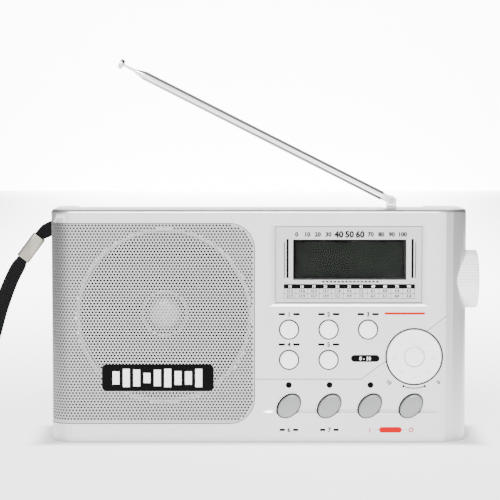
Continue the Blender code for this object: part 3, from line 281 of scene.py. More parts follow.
def put(name: str, points: Points, faces, finish: Finish, body: str = "root",
        stands_for: tuple[str, ...] = (), crease: float = 35.0, weld: bool = True,
        slot: Slot | None = None) -> bpy.types.Object:
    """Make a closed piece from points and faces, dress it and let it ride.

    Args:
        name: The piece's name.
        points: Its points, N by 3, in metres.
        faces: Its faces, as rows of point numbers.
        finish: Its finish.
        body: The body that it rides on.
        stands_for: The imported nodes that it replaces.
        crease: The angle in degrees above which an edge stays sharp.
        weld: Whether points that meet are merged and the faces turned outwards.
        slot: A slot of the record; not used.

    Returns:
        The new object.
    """
    mesh = bpy.data.meshes.new(name)
    mesh.from_pydata(np.asarray(points, float).tolist(), [], [list(f) for f in faces])
    if weld:
        bm = bmesh.new()
        bm.from_mesh(mesh)
        bmesh.ops.remove_doubles(bm, verts=bm.verts, dist=1e-7)
        bmesh.ops.dissolve_degenerate(bm, edges=bm.edges, dist=1e-8)
        bmesh.ops.recalc_face_normals(bm, faces=bm.faces)
        bm.to_mesh(mesh)
        bm.free()
    mesh.shade_smooth()
    mesh.set_sharp_from_angle(angle=radians(crease))
    mesh.materials.append(finish.material())
    piece = bpy.data.objects.new(name, mesh)
    bpy.context.scene.collection.objects.link(piece)
    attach(piece, body)
    if stands_for:
        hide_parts(*stands_for)
    LOG.info("%s: %d faces, on %s", name, len(mesh.polygons), body)
    return piece


def grid_faces(rows: int, columns: int, ring: bool = True) -> Faces:
    """Quads of a grid of points, its columns closed into a ring if asked.

    Args:
        rows: How many rows of points.
        columns: How many points in a row.
        ring: Whether each row's last point joins its first.

    Returns:
        The quads, as rows of four point numbers.
    """
    r, c = np.meshgrid(np.arange(rows - 1), np.arange(columns if ring else columns - 1),
                       indexing="ij")
    right = (c + 1) % columns
    quads = np.stack([r * columns + c, r * columns + right,
                      (r + 1) * columns + right, (r + 1) * columns + c], axis=-1)
    return quads.reshape(-1, 4).tolist()


def turned(profile: Points, centre: Points, axis: Points, steps: int = 64,
           closed: bool = False) -> tuple[Points, Faces]:
    """A surface of revolution: point (r, h) of the profile goes round the axis as
    centre + h axis + r (cos a side + sin a other), for a from 0 to a full turn.

    Args:
        profile: Rows of radius and distance along the axis.
        centre: A point on the axis.
        axis: The axis direction.
        steps: How many points go round.
        closed: Whether the profile's last point joins its first. Otherwise its ends are
            on the axis or are capped.

    Returns:
        The points and the faces.
    """
    way = Vector(axis).normalized()
    side = np.array(way.orthogonal().normalized())
    other = np.cross(np.array(way), side)
    a = np.linspace(0, 2 * pi, steps, endpoint=False)
    round_it = np.cos(a)[:, None] * side + np.sin(a)[:, None] * other
    rows = np.asarray(profile, float)
    if closed:
        rows = np.vstack([rows, rows[:1]])
    points = (np.asarray(centre, float) + rows[:, 1, None, None] * np.array(way)
              + rows[:, 0, None, None] * round_it[None])
    faces = grid_faces(len(rows), steps)
    if not closed:
        last = (len(rows) - 1) * steps
        faces += [list(range(steps)), list(range(last, last + steps))]
    return points.reshape(-1, 3), faces


def stacked(outlines: Points) -> tuple[Points, Faces]:
    """A solid through a row of outlines with as many points each, its two ends capped.

    Args:
        outlines: Rows by points by 3.

    Returns:
        The points and the faces.
    """
    rows, columns = outlines.shape[:2]
    last = (rows - 1) * columns
    caps = [list(range(columns)), list(range(last, last + columns))]
    return outlines.reshape(-1, 3), grid_faces(rows, columns) + caps


def round_profile(radius: float, near: float, far: float, bevel: float, crown: float = 0.0) -> Points:
    """A button's profile from the middle of its face to its back: a crown that falls by
    crown (r / radius) squared, a quarter circle of the bevel's radius, and a straight side.

    Args:
        radius: The button's radius.
        near: The face's place along the axis.
        far: The back's place along the axis.
        bevel: The radius of the rounded edge.
        crown: How much lower the face is at its edge than in its middle.

    Returns:
        Rows of radius and place.
    """
    way = 1.0 if far > near else -1.0
    r = np.linspace(0, radius - bevel, 8)
    face = np.stack([r, near + way * crown * (r / radius) ** 2], axis=1)
    a = np.linspace(0, pi / 2, 6)[1:]
    edge = np.stack([radius - bevel + bevel * np.sin(a),
                     face[-1, 1] + way * bevel * (1 - np.cos(a))], axis=1)
    return np.vstack([face, edge, [[radius, far], [0, far]]])


def boxes(blocks: list[tuple[Points, Points]]) -> tuple[Points, Faces]:
    """Boxes between pairs of corners, all in one mesh.

    Args:
        blocks: The lowest and highest corner of each.

    Returns:
        The points and the faces.
    """
    corner = np.array([[0, 0, 0], [1, 0, 0], [1, 1, 0], [0, 1, 0],
                       [0, 0, 1], [1, 0, 1], [1, 1, 1], [0, 1, 1]], float)
    side = np.array([[0, 3, 2, 1], [4, 5, 6, 7], [0, 1, 5, 4], [1, 2, 6, 5], [2, 3, 7, 6], [3, 0, 4, 7]])
    low = np.array([b[0] for b in blocks], float)[:, None]
    high = np.array([b[1] for b in blocks], float)[:, None]
    points = low + (high - low) * corner[None]
    faces = side[None] + 8 * np.arange(len(blocks))[:, None, None]
    return points.reshape(-1, 3), faces.reshape(-1, 4).tolist()


def box_of(node: str) -> tuple[Points, Points]:
    """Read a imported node's box.

    Args:
        node: The node's name.

    Returns:
        Its lowest and its highest corner.
    """
    low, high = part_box(node)
    return np.array(low, float), np.array(high, float)


def middle_of(node: str) -> Points:
    """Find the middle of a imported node's box.

    Args:
        node: The node's name.

    Returns:
        The middle.
    """
    low, high = box_of(node)
    return (low + high) / 2


def dress(finish: Finish, *nodes: str) -> None:
    """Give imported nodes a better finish.

    Args:
        finish: The finish.
        nodes: The nodes' names.
    """
    for node in nodes:
        piece = frame["nodes"][node]
        piece.data.materials.clear()
        piece.data.materials.append(finish.material())
        LOG.info("%s: dressed in %s", node, finish.name)


CASE_LEFT = float(box_of("front_shell")[0][0])
CASE_REAR = float(box_of("rear_shell")[1][1])
CASE_FRONT = -CASE_REAR


# ---------------------------------------------------------------- case

@dataclass
class Case:
    """The two halves of the case and the battery door."""

    groove_width: float = 0.55 * MM
    groove_depth: float = 0.3 * MM
    step_height: float = 31.5 * MM
    step_turn: float = 50.4 * MM
    step_slope: float = 0.745
    step_end: float = 92.4 * MM
    crease_low: float = 14.6 * MM
    crease_high: float = 16.6 * MM
    crease_depth: float = 0.7 * MM
    fascia_end: float = 94.0 * MM

    def copy_of(self, node: str, finish: Finish) -> bpy.types.Object:
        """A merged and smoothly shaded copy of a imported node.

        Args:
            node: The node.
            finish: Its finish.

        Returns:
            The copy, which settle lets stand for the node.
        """
        mesh = frame["nodes"][node].data.copy()
        bm = bmesh.new()
        bm.from_mesh(mesh)
        bmesh.ops.remove_doubles(bm, verts=bm.verts, dist=2e-6)
        bmesh.ops.dissolve_limit(bm, angle_limit=radians(0.5), verts=bm.verts, edges=bm.edges)
        bm.to_mesh(mesh)
        bm.free()
        mesh.shade_smooth()
        mesh.materials.clear()
        mesh.materials.append(finish.material())
        piece = bpy.data.objects.new(node + "_finished", mesh)
        bpy.context.scene.collection.objects.link(piece)
        return piece

    def settle(self, piece: bpy.types.Object, node: str, crease: float = 32.0) -> None:
        """Apply the cuts, mark the sharp edges and let the piece stand for its node.

        Args:
            piece: The copy.
            node: The node that it replaces.
            crease: The angle in degrees above which an edge stays sharp.
        """
        graph = bpy.context.evaluated_depsgraph_get()
        mesh = bpy.data.meshes.new_from_object(piece.evaluated_get(graph))
        piece.modifiers.clear()
        piece.data = mesh
        bm = bmesh.new()
        bm.from_mesh(mesh)
        bmesh.ops.remove_doubles(bm, verts=bm.verts, dist=5e-6)
        bmesh.ops.dissolve_degenerate(bm, edges=bm.edges, dist=5e-6)
        bmesh.ops.dissolve_limit(bm, angle_limit=radians(0.3), verts=bm.verts, edges=bm.edges)
        bm.to_mesh(mesh)
        bm.free()
        mesh.shade_smooth()
        mesh.set_sharp_from_angle(angle=radians(crease))
        weighted = piece.modifiers.new("even_shading", "WEIGHTED_NORMAL")
        weighted.keep_sharp = True
        weighted.weight = 90
        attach(piece, "root")
        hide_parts(node)
        LOG.info("%s: %d faces", piece.name, len(mesh.polygons))

    def fascia_cutters(self) -> list[bpy.types.Object]:
        """Cutters for the fine step line and for the crease along the lower fascia.

        Returns:
            The cutter objects.
        """
        front = CASE_FRONT
        grille_edge = box_of("speaker_grille")[1][0] + 2 * GAP
        top = self.step_height + (self.step_end - self.step_turn) * self.step_slope
        line = np.array([[grille_edge, self.step_height], [self.step_turn, self.step_height],
                         [self.step_end, top]])
        lean = np.arctan(self.step_slope)
        away = np.array([[0, 1], [-sin(lean / 2), cos(lean / 2)], [-sin(lean), cos(lean)]])
        half = self.groove_width / 2
        outline = np.vstack([line + away * half, (line - away * half)[::-1]])
        deep = front + self.groove_depth
        rows = [np.column_stack([outline[:, 0], np.full(6, y), outline[:, 1]])
                for y in (front - 2 * MM, deep)]
        groove = self.cutter("step_line", *stacked(np.array(rows)))
        low, high = self.crease_low, self.crease_high
        section = np.array([[front - 2 * MM, low], [front - 0.1 * MM, low],
                            [front + self.crease_depth, high - 0.8 * MM],
                            [front - 0.1 * MM, high], [front - 2 * MM, high]])
        rows = [np.column_stack([np.full(5, x), section])
                for x in (grille_edge, self.fascia_end - 6 * MM, self.fascia_end)]
        rows[-1][:, 1] = front - 2 * MM + (rows[-1][:, 1] - front + 2 * MM) * 0.2
        return [groove, self.cutter("lower_crease", *stacked(np.array(rows)))]

    def cutter(self, name: str, points: Points, faces: Faces) -> bpy.types.Object:
        """Make a closed mesh that cuts and isn't shown.

        Args:
            name: Its name.
            points: Its points.
            faces: Its faces.

        Returns:
            The cutter.
        """
        mesh = bpy.data.meshes.new(name)
        mesh.from_pydata(points.tolist(), [], faces)
        bm = bmesh.new()
        bm.from_mesh(mesh)
        bmesh.ops.recalc_face_normals(bm, faces=bm.faces)
        bm.to_mesh(mesh)
        bm.free()
        made = bpy.data.objects.new(name, mesh)
        bpy.context.scene.collection.objects.link(made)
        return made

    def door_ridges(self) -> None:
        """Rows of shallow bars on the battery door, where a thumb pushes it."""
        low, high = box_of("battery_door")
        rear = high[1]
        middle = (low[0] + high[0]) / 2
        blocks = []
        for row in range(7):
            z = high[2] - 5 * MM - row * 1.6 * MM
            half = (9 - row) * MM
            blocks.append(([middle - half, rear - 0.2 * MM, z],
                           [middle + half, rear + 0.25 * MM, z + 0.8 * MM]))
        put("door_thumb_ridges", *boxes(blocks), REAR_PAINT, "battery_door", slot=Slot.CASE)

    def build(self) -> None:
        """Build the halves and the door."""
        front = self.copy_of("front_shell", SILVER_PAINT)
        cutters = self.fascia_cutters()
        for tool in cutters:
            cut = front.modifiers.new(tool.name, "BOOLEAN")
            cut.operation = "DIFFERENCE"
            cut.object = tool
        bpy.context.view_layer.update()
        self.settle(front, "front_shell", 28.0)
        for tool in cutters:
            bpy.data.objects.remove(tool, do_unlink=True)
        self.settle(self.copy_of("rear_shell", REAR_PAINT), "rear_shell")
        dress(REAR_PAINT, "battery_door")
        self.door_ridges()
        dress(STEEL, *[f"case_screw_{n}" for n in range(1, 5)])


# ---------------------------------------------------------------- speaker

@dataclass
class Grille:
    """The perforated sheet. Flat, it is a honeycomb of cells with a hole in each, pulled in
    to the sheet's outline. It is then wrapped round the case's left front corner."""

    pitch: float = 1.65 * MM
    hole: float = 0.57 * MM
    sheet: float = 0.6 * MM
    corner: float = 12.2 * MM
    turn: float = 11.0 * MM
    hole_sides: int = 8
    opening: float = 43.2 * MM

    def outline_pull(self, flat: Points, length: float, height: float) -> Points:
        """Pull points that lie outside the flat outline in to it. The outline is a
        rectangle from 0 to length and 0 to height whose two corners at 0 are round: past a
        corner's centre a point keeps its direction from it, and its distance is at most the
        corner's radius.

        Args:
            flat: Points by 2.
            length: The sheet's length.
            height: Its height.

        Returns:
            The points, all within the outline.
        """
        inside = np.column_stack([np.clip(flat[:, 0], 0, length), np.clip(flat[:, 1], 0, height)])
        for z in (self.corner, height - self.corner):
            beyond = (inside[:, 0] < self.corner) & (
                inside[:, 1] < z if z == self.corner else inside[:, 1] > z)
            away = inside - [self.corner, z]
            far = np.maximum(np.linalg.norm(away, axis=1), 1e-12)
            scale = np.minimum(self.corner / far, 1.0)
            pulled = [self.corner, z] + away * scale[:, None]
            inside = np.where(beyond[:, None], pulled, inside)
        return inside

    def wrap(self, flat: Points, inset: float, edge: float, bottom: float) -> Points:
        """Wrap flat points round the case: along the front to the left, then round a
        quarter circle, then back along the side.

        Args:
            flat: Points by 2, the distance from the free edge and the height.
            inset: How far the face lies inside the case.
            edge: The X of the free edge.
            bottom: The Z of the lower edge.

        Returns:
            Points by 3.
        """
        left, front = CASE_LEFT, CASE_FRONT
        s, z = flat[:, 0], flat[:, 1] + bottom
        straight = edge - (left + self.turn)
        arc = self.turn * pi / 2
        a = np.clip((s - straight) / self.turn, 0, pi / 2)
        radius = self.turn - inset
        x = np.where(s <= straight, edge - s, left + self.turn - radius * np.sin(a))
        y = np.where(s <= straight, front + inset, front + self.turn - radius * np.cos(a))
        y = y + np.maximum(s - straight - arc, 0)
        return np.column_stack([x, y, z])

    def cell_pattern(self) -> tuple[np.ndarray, np.ndarray]:
        """The triangles between a hexagon, points 0 to 5, and its hole, the points after
        them: both loops are walked together by angle, and each step makes a triangle.

        Returns:
            The triangles of a cell with a hole and of a cell without one.
        """
        hexagon = [pi / 6 + pi / 3 * k for k in range(6)]
        hole = [2 * pi / self.hole_sides * (k + 0.5) for k in range(self.hole_sides)]
        i = j = 0
        found = []
        while i < 6 or j < self.hole_sides:
            next_i = hexagon[i] + pi / 3 if i < 6 else 99
            next_j = hole[j] + 2 * pi / self.hole_sides if j < self.hole_sides else 99
            outer, inner = i % 6, 6 + j % self.hole_sides
            if next_i <= next_j:
                found.append((outer, (i + 1) % 6, inner))
                i += 1
            else:
                found.append((outer, 6 + (j + 1) % self.hole_sides, inner))
                j += 1
        solid = [(0, k, k + 1) for k in range(1, 5)]
        return np.array(found), np.array(solid)

    def build(self) -> None:
        """Lay out the cells, pull them in, wrap both faces and wall every open edge."""
        low, high = box_of("speaker_grille")
        edge, bottom = high[0], low[2]
        height = high[2] - low[2]
        inset = low[1] - CASE_FRONT
        straight = edge - (CASE_LEFT + self.turn)
        length = straight + self.turn * pi / 2 + (high[1] - (CASE_FRONT + self.turn))
        rise = self.pitch * 3 ** 0.5 / 2
        rows, columns = int(height / rise) + 3, int(length / self.pitch) + 3
        row, column = np.meshgrid(np.arange(-1, rows), np.arange(-1, columns), indexing="ij")
        centres = np.column_stack([((column + 0.5 * (row % 2)) * self.pitch).ravel() + 0.4 * MM,
                                   (row * rise).ravel() + 0.75 * MM])
        near = self.outline_pull(centres, length, height)
        centres = centres[np.linalg.norm(near - centres, axis=1) < self.pitch * 0.6]
        a = pi / 6 + pi / 3 * np.arange(6)
        b = 2 * pi / self.hole_sides * (np.arange(self.hole_sides) + 0.5)
        corners = centres[:, None] + self.pitch / 3 ** 0.5 * np.stack([np.cos(a), np.sin(a)], axis=1)
        holes = centres[:, None] + self.hole * np.stack([np.cos(b), np.sin(b)], axis=1)
        margin = centres[:, None] + (self.hole + 0.35 * MM) * np.stack([np.cos(b), np.sin(b)], axis=1)
        pulled = self.outline_pull(margin.reshape(-1, 2), length, height).reshape(margin.shape)
        open_cell = (np.abs(pulled - margin).max(axis=(1, 2)) < 1e-9)
        pattern, solid = self.cell_pattern()
        count = 6 + self.hole_sides
        cells = np.concatenate([corners, holes], axis=1)
        flat = self.outline_pull(cells.reshape(-1, 2), length, height)
        base = count * np.arange(len(centres))
        triangles = np.vstack([(pattern[None] + base[open_cell][:, None, None]).reshape(-1, 3),
                               (solid[None] + base[~open_cell][:, None, None]).reshape(-1, 3)])
        _, first, index = np.unique(np.round(flat / 1e-7).astype(np.int64), axis=0,
                                       return_index=True, return_inverse=True)
        flat, triangles = flat[first], index.reshape(-1)[triangles]
        p = flat[triangles]
        area = np.cross(p[:, 1] - p[:, 0], p[:, 2] - p[:, 0])
        triangles = triangles[np.abs(area) > 1e-13]
        area = area[np.abs(area) > 1e-13]
        triangles = np.where((area < 0)[:, None], triangles[:, ::-1], triangles)
        used, triangles = np.unique(triangles, return_inverse=True)
        flat, triangles = flat[used], triangles.reshape(-1, 3)
        LOG.info("grille: %d cells, %d with a hole", len(centres), int(open_cell.sum()))
        points, faces = self.thick(flat, triangles, inset, self.sheet, edge, bottom)
        put("perforated_grille", points, faces, GRILLE_METAL, stands_for=("speaker_grille",),
            crease=40, weld=False, slot=Slot.GRILLE)
        self.backing(length, height, inset + self.sheet + 0.05 * MM, edge, bottom)
        self.edge_line(length, height, inset + 0.12 * MM, edge, bottom)

    def thick(self, flat: Points, triangles: np.ndarray, inset: float, deep: float, edge: float,
              bottom: float) -> tuple[Points, Faces]:
        """Give a flat sheet its thickness: both faces are wrapped, and each edge that only
        one triangle has becomes a wall.

        Args:
            flat: The flat points.
            triangles: Their triangles.
            inset: How far the front face lies inside the case.
            deep: The thickness.
            edge: The X of the free edge.
            bottom: The Z of the lower edge.

        Returns:
            The points and the faces.
        """
        edges = np.concatenate([triangles[:, [0, 1]], triangles[:, [1, 2]], triangles[:, [2, 0]]])
        _, where, times = np.unique(np.sort(edges, axis=1), axis=0, return_index=True,
                                    return_counts=True)
        rim = edges[where[times == 1]]
        n = len(flat)
        points = np.vstack([self.wrap(flat, inset, edge, bottom),
                            self.wrap(flat, inset + deep, edge, bottom)])
        walls = np.vstack([np.column_stack([rim[:, 0], rim[:, 1], rim[:, 1] + n]),
                           np.column_stack([rim[:, 0], rim[:, 1] + n, rim[:, 0] + n])])
        return points, np.vstack([triangles[:, ::-1], triangles + n, walls])

    def backing(self, length: float, height: float, inset: float, edge: float, bottom: float) -> None:
        """A dark felt behind the sheet, cut away round the speaker: a grid of squares
        without those whose middles lie within the opening's radius.

        Args:
            length: The sheet's length.
            height: Its height.
            inset: How far the piece lies inside the case.
            edge: The X of the free edge.
            bottom: The Z of the lower edge.
        """
        pitch = 1.0 * MM
        rows, columns = int(height / pitch), int(length / pitch)
        z, x = np.meshgrid(np.linspace(0, height, rows), np.linspace(0, length, columns), indexing="ij")
        flat = self.outline_pull(np.column_stack([x.ravel(), z.ravel()]), length, height)
        quads = np.array(grid_faces(rows, columns, False))
        middle = flat[quads].mean(axis=1)
        speaker = middle_of("speaker_cone")
        away = np.hypot(edge - middle[:, 0] - speaker[0], middle[:, 1] + bottom - speaker[2])
        quads = quads[away > self.opening]
        triangles = np.vstack([quads[:, [0, 1, 2]], quads[:, [0, 2, 3]]])
        used, triangles = np.unique(triangles, return_inverse=True)
        flat, triangles = flat[used], triangles.reshape(-1, 3)
        p = flat[triangles]
        area = np.cross(p[:, 1] - p[:, 0], p[:, 2] - p[:, 0])
        triangles = np.where((area < 0)[:, None], triangles[:, ::-1], triangles)
        points, faces = self.thick(flat, triangles, inset, 0.1 * MM, edge, bottom)
        put("grille_backing_felt", points, faces, BACKING_FELT, crease=60, slot=Slot.PAPER)

    def edge_line(self, length: float, height: float, inset: float, edge: float, bottom: float) -> None:
        """Painted shade in the gap round the sheet's three free sides: a dark ribbon
        between the outline and the outline grown by the gap.

        Args:
            length: The sheet's length.
            height: Its height.
            inset: How far the piece lies inside the case.
            edge: The X of the free edge.
            bottom: The Z of the lower edge.
        """
        loops = []
        for grown in (-0.12 * MM, GAP - 0.01 * MM):
            r = self.corner + grown
            a = np.linspace(0, pi / 2, 16)
            low = np.column_stack([self.corner - r * np.sin(a), self.corner - r * np.cos(a)])
            high = np.column_stack([self.corner - r * np.cos(a), height - self.corner + r * np.sin(a)])
            run = np.linspace(length, self.corner, 90)
            loops.append(np.vstack([np.column_stack([run, np.full(90, -grown)]), low, high,
                                    np.column_stack([run[::-1], np.full(90, height + grown)])]))
        n = len(loops[0])
        rows = [self.wrap(loops[0], inset, edge, bottom), self.wrap(loops[1], inset, edge, bottom),
                self.wrap(loops[1], inset + 0.4 * MM, edge, bottom),
                self.wrap(loops[0], inset + 0.4 * MM, edge, bottom)]
        points = np.stack(rows, axis=1)
        # Painted shade: a dark ribbon where the gap round the sheet falls into shadow.
        put("grille_gap_painted_shadow", *stacked(points), BLACK_INK, crease=60, slot=Slot.BLACK_PLASTIC)
        LOG.info("grille strip: %d stations", n)


@dataclass
class Speaker:
    """What shows through the grille: the cone with its rolled surround, and its bright cap."""

    surround: float = 4.0 * MM
    skin: float = 0.4 * MM
    steps: int = 96

    def build(self) -> None:
        """Turn the cone and the cap, and dress the basket and the magnet."""
        low, high = box_of("speaker_cone")
        centre = np.array([(low[0] + high[0]) / 2, low[1], (low[2] + high[2]) / 2])
        rim, deep = (high[0] - low[0]) / 2, high[1] - low[1]
        cap_low, cap_high = box_of("speaker_dust_cap")
        cap_radius = (cap_high[0] - cap_low[0]) / 2
        neck = cap_radius - 1.2 * MM
        a = np.linspace(0, pi, 9)
        roll = np.stack([rim - self.surround / 2 + self.surround / 2 * np.cos(a),
                         0.9 * MM - 0.9 * MM * np.sin(a)], axis=1)
        t = np.linspace(0, 1, 16)[1:]
        inner = rim - self.surround
        cone = np.stack([inner + (neck - inner) * t,
                         0.9 * MM + (deep - 1.6 * MM) * t ** 0.85], axis=1)
        front = np.vstack([roll, cone])
        back = front[::-1] + [0, self.skin]
        put("cone_and_surround", *turned(np.vstack([front, back]), centre, (0, 1, 0), self.steps, True),
            CONE_PAPER, stands_for=("speaker_cone",), slot=Slot.PAPER)
        middle, lip = 7.8 * MM, 0.45 * MM
        height = cap_high[1] - cap_low[1]
        a = np.linspace(0, pi / 2, 12)
        dome = np.stack([middle * np.sin(a), (height - 1.2 * MM) * (1 - np.cos(a))], axis=1)
        place = [centre[0], cap_low[1], centre[2]]
        put("foil_dust_cap", *turned(np.vstack([dome, [[middle, height - 0.8 * MM], [0, height - 0.8 * MM]]]),
                                     place, (0, 1, 0), 64), CAP_PAPER, stands_for=("speaker_dust_cap",),
            slot=Slot.GRILLE)
        skirt = [[0, height - 0.75 * MM], [cap_radius, height - 0.75 * MM], [cap_radius, height - 0.2 * MM],
                 [0, height - 0.2 * MM]]
        put("cap_skirt", *turned(skirt, place, (0, 1, 0), 64), CONE_PAPER, slot=Slot.PAPER)
        a = np.linspace(0, 2 * pi, 9)[:-1]
        bead = np.stack([cap_radius - lip + lip * np.cos(a), height - 1.3 * MM + lip * np.sin(a)], axis=1)
        put("cap_bead", *turned(bead, place, (0, 1, 0), 64, True), CAP_PAPER, slot=Slot.GRILLE)
        dress(STEEL, "speaker_basket")
        dress(FERRITE, "speaker_magnet")


@dataclass
class Badge:
    """A dark plate on the grille's lower part, with pale bars and no lettering."""

    left: float = -77.5 * MM
    right: float = -22.5 * MM
    bottom: float = 25.6 * MM
    top: float = 38.8 * MM
    thick: float = 0.7 * MM
    corner: float = 2.2 * MM
    bar_count: int = 9
    bar_start: float = 5.2 * MM
    bar_pitch: float = 5.1 * MM
    bar_width: float = 3.4 * MM

    def outline(self, inset: float) -> Points:
        """The plate's upright outline, drawn in by an inset: four quarter circles joined by
        straight lines.

        Args:
            inset: How far it is drawn in.

        Returns:
            Points by 2.
        """
        a = np.linspace(0, pi / 2, 7)
        radius = max(self.corner - inset, 0.2 * MM)
        found = []
        for k, (x, z) in enumerate(((self.right, self.top), (self.left, self.top),
                                    (self.left, self.bottom), (self.right, self.bottom))):
            cx = x - self.corner if x == self.right else x + self.corner
            cz = z - self.corner if z == self.top else z + self.corner
            found.append(np.stack([cx + radius * np.cos(a + k * pi / 2),
                                   cz + radius * np.sin(a + k * pi / 2)], axis=1))
        return np.vstack(found)

    def build(self) -> None:
        """Build the plate and its pale bars."""
        back = box_of("speaker_grille")[0][1]
        rows = []
        for inset, y in ((0.0, back - 0.02 * MM), (0.0, back - self.thick + 0.25 * MM),
                         (0.08 * MM, back - self.thick + 0.08 * MM), (0.25 * MM, back - self.thick)):
            o = self.outline(inset)
            rows.append(np.column_stack([o[:, 0], np.full(len(o), y), o[:, 1]]))
        put("blank_badge", *stacked(np.array(rows)), BLACK_INK, slot=Slot.BLACK_PLASTIC)
        face = back - self.thick
        middle = (self.top + self.bottom) / 2
        blocks = []
        for k in range(self.bar_count):
            x = self.left + self.bar_start + k * self.bar_pitch
            half = (2.4 + 2.2 * abs(sin(k * 0.9 + 0.4))) * MM
            blocks.append(([x, face - 0.12 * MM, middle - half],
                           [x + self.bar_width, face + 0.1 * MM, middle + half]))
        put("badge_bars", *boxes(blocks), WHITE_INK, slot=Slot.WHITE_PLASTIC)


# ---------------------------------------------------------------- display and print

@dataclass(frozen=True)
class Mark:
    """A few plain numerals or signs: what, the middle of it, its height and its lean."""

    text: str
    x: float
    z: float
    height: float
    lean: float = 0.0
    bold: float = 0.045


def print_marks(name: str, marks: list[Mark], finish: Finish, face: float, body: str = "root") -> None:
    """Print marks on a face that looks to the front, as closed letters a hair thick.

    Args:
        name: The piece's name.
        marks: What to print.
        finish: The ink.
        face: The face's Y.
        body: The body that they ride on.
    """
    points, faces, count = [], [], 0
    for mark in marks:
        curve = bpy.data.curves.new(name, "FONT")
        curve.body = mark.text
        curve.size = mark.height / 0.7
        curve.extrude = 0.04 * MM
        curve.offset = mark.bold * mark.height
        curve.resolution_u = 2
        curve.align_x = "CENTER"
        letter = bpy.data.objects.new(name, curve)
        bpy.context.scene.collection.objects.link(letter)
        bpy.context.view_layer.update()
        mesh = letter.evaluated_get(bpy.context.evaluated_depsgraph_get()).to_mesh()
        flat = np.zeros(len(mesh.vertices) * 3)
        mesh.vertices.foreach_get("co", flat)
        flat = flat.reshape(-1, 3) - [0, mark.height / 2, 0]
        across = flat[:, 0] * cos(mark.lean) - flat[:, 1] * sin(mark.lean)
        up = flat[:, 0] * sin(mark.lean) + flat[:, 1] * cos(mark.lean)
        points.append(np.column_stack([mark.x + across, face - flat[:, 2], mark.z + up]))
        faces += [[v + count for v in p.vertices] for p in mesh.polygons]
        count += len(flat)
        letter.to_mesh_clear()
        bpy.data.objects.remove(letter, do_unlink=True)
    put(name, np.vstack(points), faces, finish, body, crease=30)


def bars(name: str, spans: list[tuple[float, float, float, float]], finish: Finish, face: float) -> None:
    """Print upright rectangles on a face that looks to the front.

    Args:
        name: The piece's name.
        spans: The left, right, bottom and top of each.
        finish: The ink.
        face: The face's Y.
    """
    thin = 0.03 * MM
    put(name, *boxes([([x0, face - thin, z0], [x1, face + thin, z1]) for x0, x1, z0, z1 in spans]),
        finish)


